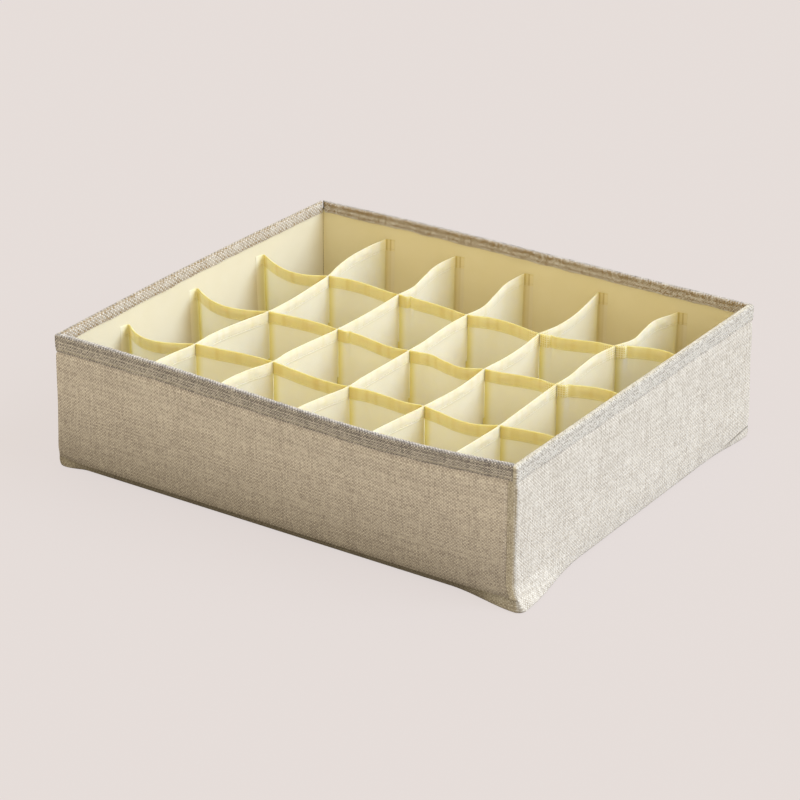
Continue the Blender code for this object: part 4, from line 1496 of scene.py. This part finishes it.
def cardboard():
    """Plain grey board, hidden between the cloths."""
    sh = Shader(bpy.data.materials.new("grey_board_finish"))
    place = sh.node("ShaderNodeTexCoord").outputs["Object"]
    speck = sh.range(sh.noise(place, BOARD_SPECK_SCALE, BOARD_DETAIL), *BOARD_SPECK_RANGE)
    return sh.finish(sh.mix(speck, BOARD_DARK, BOARD_LIGHT), BOARD_ROUGHNESS, speck, BOARD_RELIEF)


# Stage


def add_floor():
    """The floor: seen nearly at its own colour, and dull to all other rays."""
    bpy.ops.mesh.primitive_plane_add(size=FLOOR_SIZE)
    floor = bpy.context.object
    floor.name = "floor"
    sh = Shader(bpy.data.materials.new("floor_finish"))
    seen = sh.node("ShaderNodeLightPath").outputs["Is Camera Ray"]
    colour = sh.mix(seen, FLOOR_BOUNCE, BACKDROP)
    sh.fill(sh.surface, {"Base Color": colour, "Roughness": 1, "Specular IOR Level": 0})
    glow = sh.node("ShaderNodeEmission", {"Color": BACKDROP})
    mixed = sh.join(sh.math("MULTIPLY", seen, FLOOR_GLOW), sh.surface, glow)
    sh.fill(sh.tree.nodes["Material Output"], {"Surface": mixed.outputs[0]})
    floor.data.materials.append(sh.owner)


def add_light():
    """An even warm sky, which the camera sees as the backdrop, and a wide sun."""
    world = bpy.data.worlds.new("studio")
    bpy.context.scene.world = world
    sh = Shader(world)
    sky = sh.tree.nodes["Background"]
    sh.fill(sky, {"Color": SKY_COLOUR, "Strength": SKY_STRENGTH})
    backdrop = sh.node("ShaderNodeBackground", {"Color": BACKDROP})
    seen = sh.node("ShaderNodeLightPath").outputs["Is Camera Ray"]
    mixed = sh.join(seen, sky, backdrop)
    sh.fill(sh.tree.nodes["World Output"], {"Surface": mixed.outputs[0]})
    lamp = bpy.data.lights.new("key", "SUN")
    lamp.energy = KEY_STRENGTH
    lamp.color = KEY_COLOUR
    lamp.angle = math.radians(KEY_SOFTNESS)
    key = bpy.data.objects.new("key", lamp)
    key.rotation_euler = Vector(KEY_FROM).to_track_quat("Z", "Y").to_euler()
    bpy.context.scene.collection.objects.link(key)


def add_camera():
    lens = bpy.data.cameras.new("camera")
    lens.sensor_width = CAMERA_SENSOR
    lens.lens = CAMERA_LENS
    camera = bpy.data.objects.new("camera", lens)
    turn = Matrix.Rotation(math.radians(CAMERA_AZIMUTH), 4, "Z")
    tilt = Matrix.Rotation(math.radians(90 - CAMERA_ELEVATION), 4, "X")
    roll = Matrix.Rotation(math.radians(CAMERA_ROLL), 4, "Z")
    eye = Vector(MIDDLE + CAMERA_FROM_MIDDLE)
    camera.matrix_world = Matrix.Translation(eye) @ turn @ tilt @ roll
    bpy.context.scene.collection.objects.link(camera)
    bpy.context.scene.camera = camera


def add_walls():
    """The outer cloth, the lining and the binding."""
    linen = woven("linen_weave", LINEN)
    front_linen = woven("front_linen_weave", FRONT_LINEN)
    base_linen = woven("base_linen_weave", BASE_LINEN)
    tapes = {side: woven(f"{side}_tape_weave", TAPES[side]) for side in SIDES}
    lining = soft_cloth("cream_lining", LINING)
    # The back wall's lining carries painted shade
    back_lining = soft_cloth("shaded_cream_lining", BACK_LINING)
    for index, side in enumerate(SIDES):
        outer_panel(side, WALL_SEED + index, front_linen if side == "front" else linen)
    base_panel(base_linen)
    for index, side in enumerate(SIDES):
        lining_panel(side, LINING_SEED + index, back_lining if side == "back" else lining)
        rim_binding(side, TAPE_SEED + index, tapes[side])
    lining_floor(lining)


def add_dividers():
    """The lattice of strips, each of them cut where the others pass."""
    cloths = {kind: soft_cloth(f"{kind}_strip", cloth) for kind, cloth in STRIP_CLOTHS.items()}
    sewn_cloths = {kind: soft_cloth(f"{kind}_sewn", cloth) for kind, cloth in SEWN_CLOTHS.items()}
    strips = {}
    for kind, count in (("long", LONG_DIVIDER_COUNT), ("cross", CROSS_DIVIDER_COUNT)):
        for number in range(1, count + 1):
            strips[kind, number] = Strip(kind, number)
    for strip in strips.values():
        divider(strip, strips, cloths[strip.kind], sewn_cloths[strip.kind])


def finish_boards():
    """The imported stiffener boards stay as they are, with a finish of their own."""
    board = cardboard()
    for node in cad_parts.values():
        if node.name.endswith("stiffener_board"):
            node.data.materials.clear()
            node.data.materials.append(board)


add_camera()
add_walls()
add_dividers()
finish_boards()
add_floor()
add_light()
bpy.context.scene.view_settings.view_transform = "Standard"
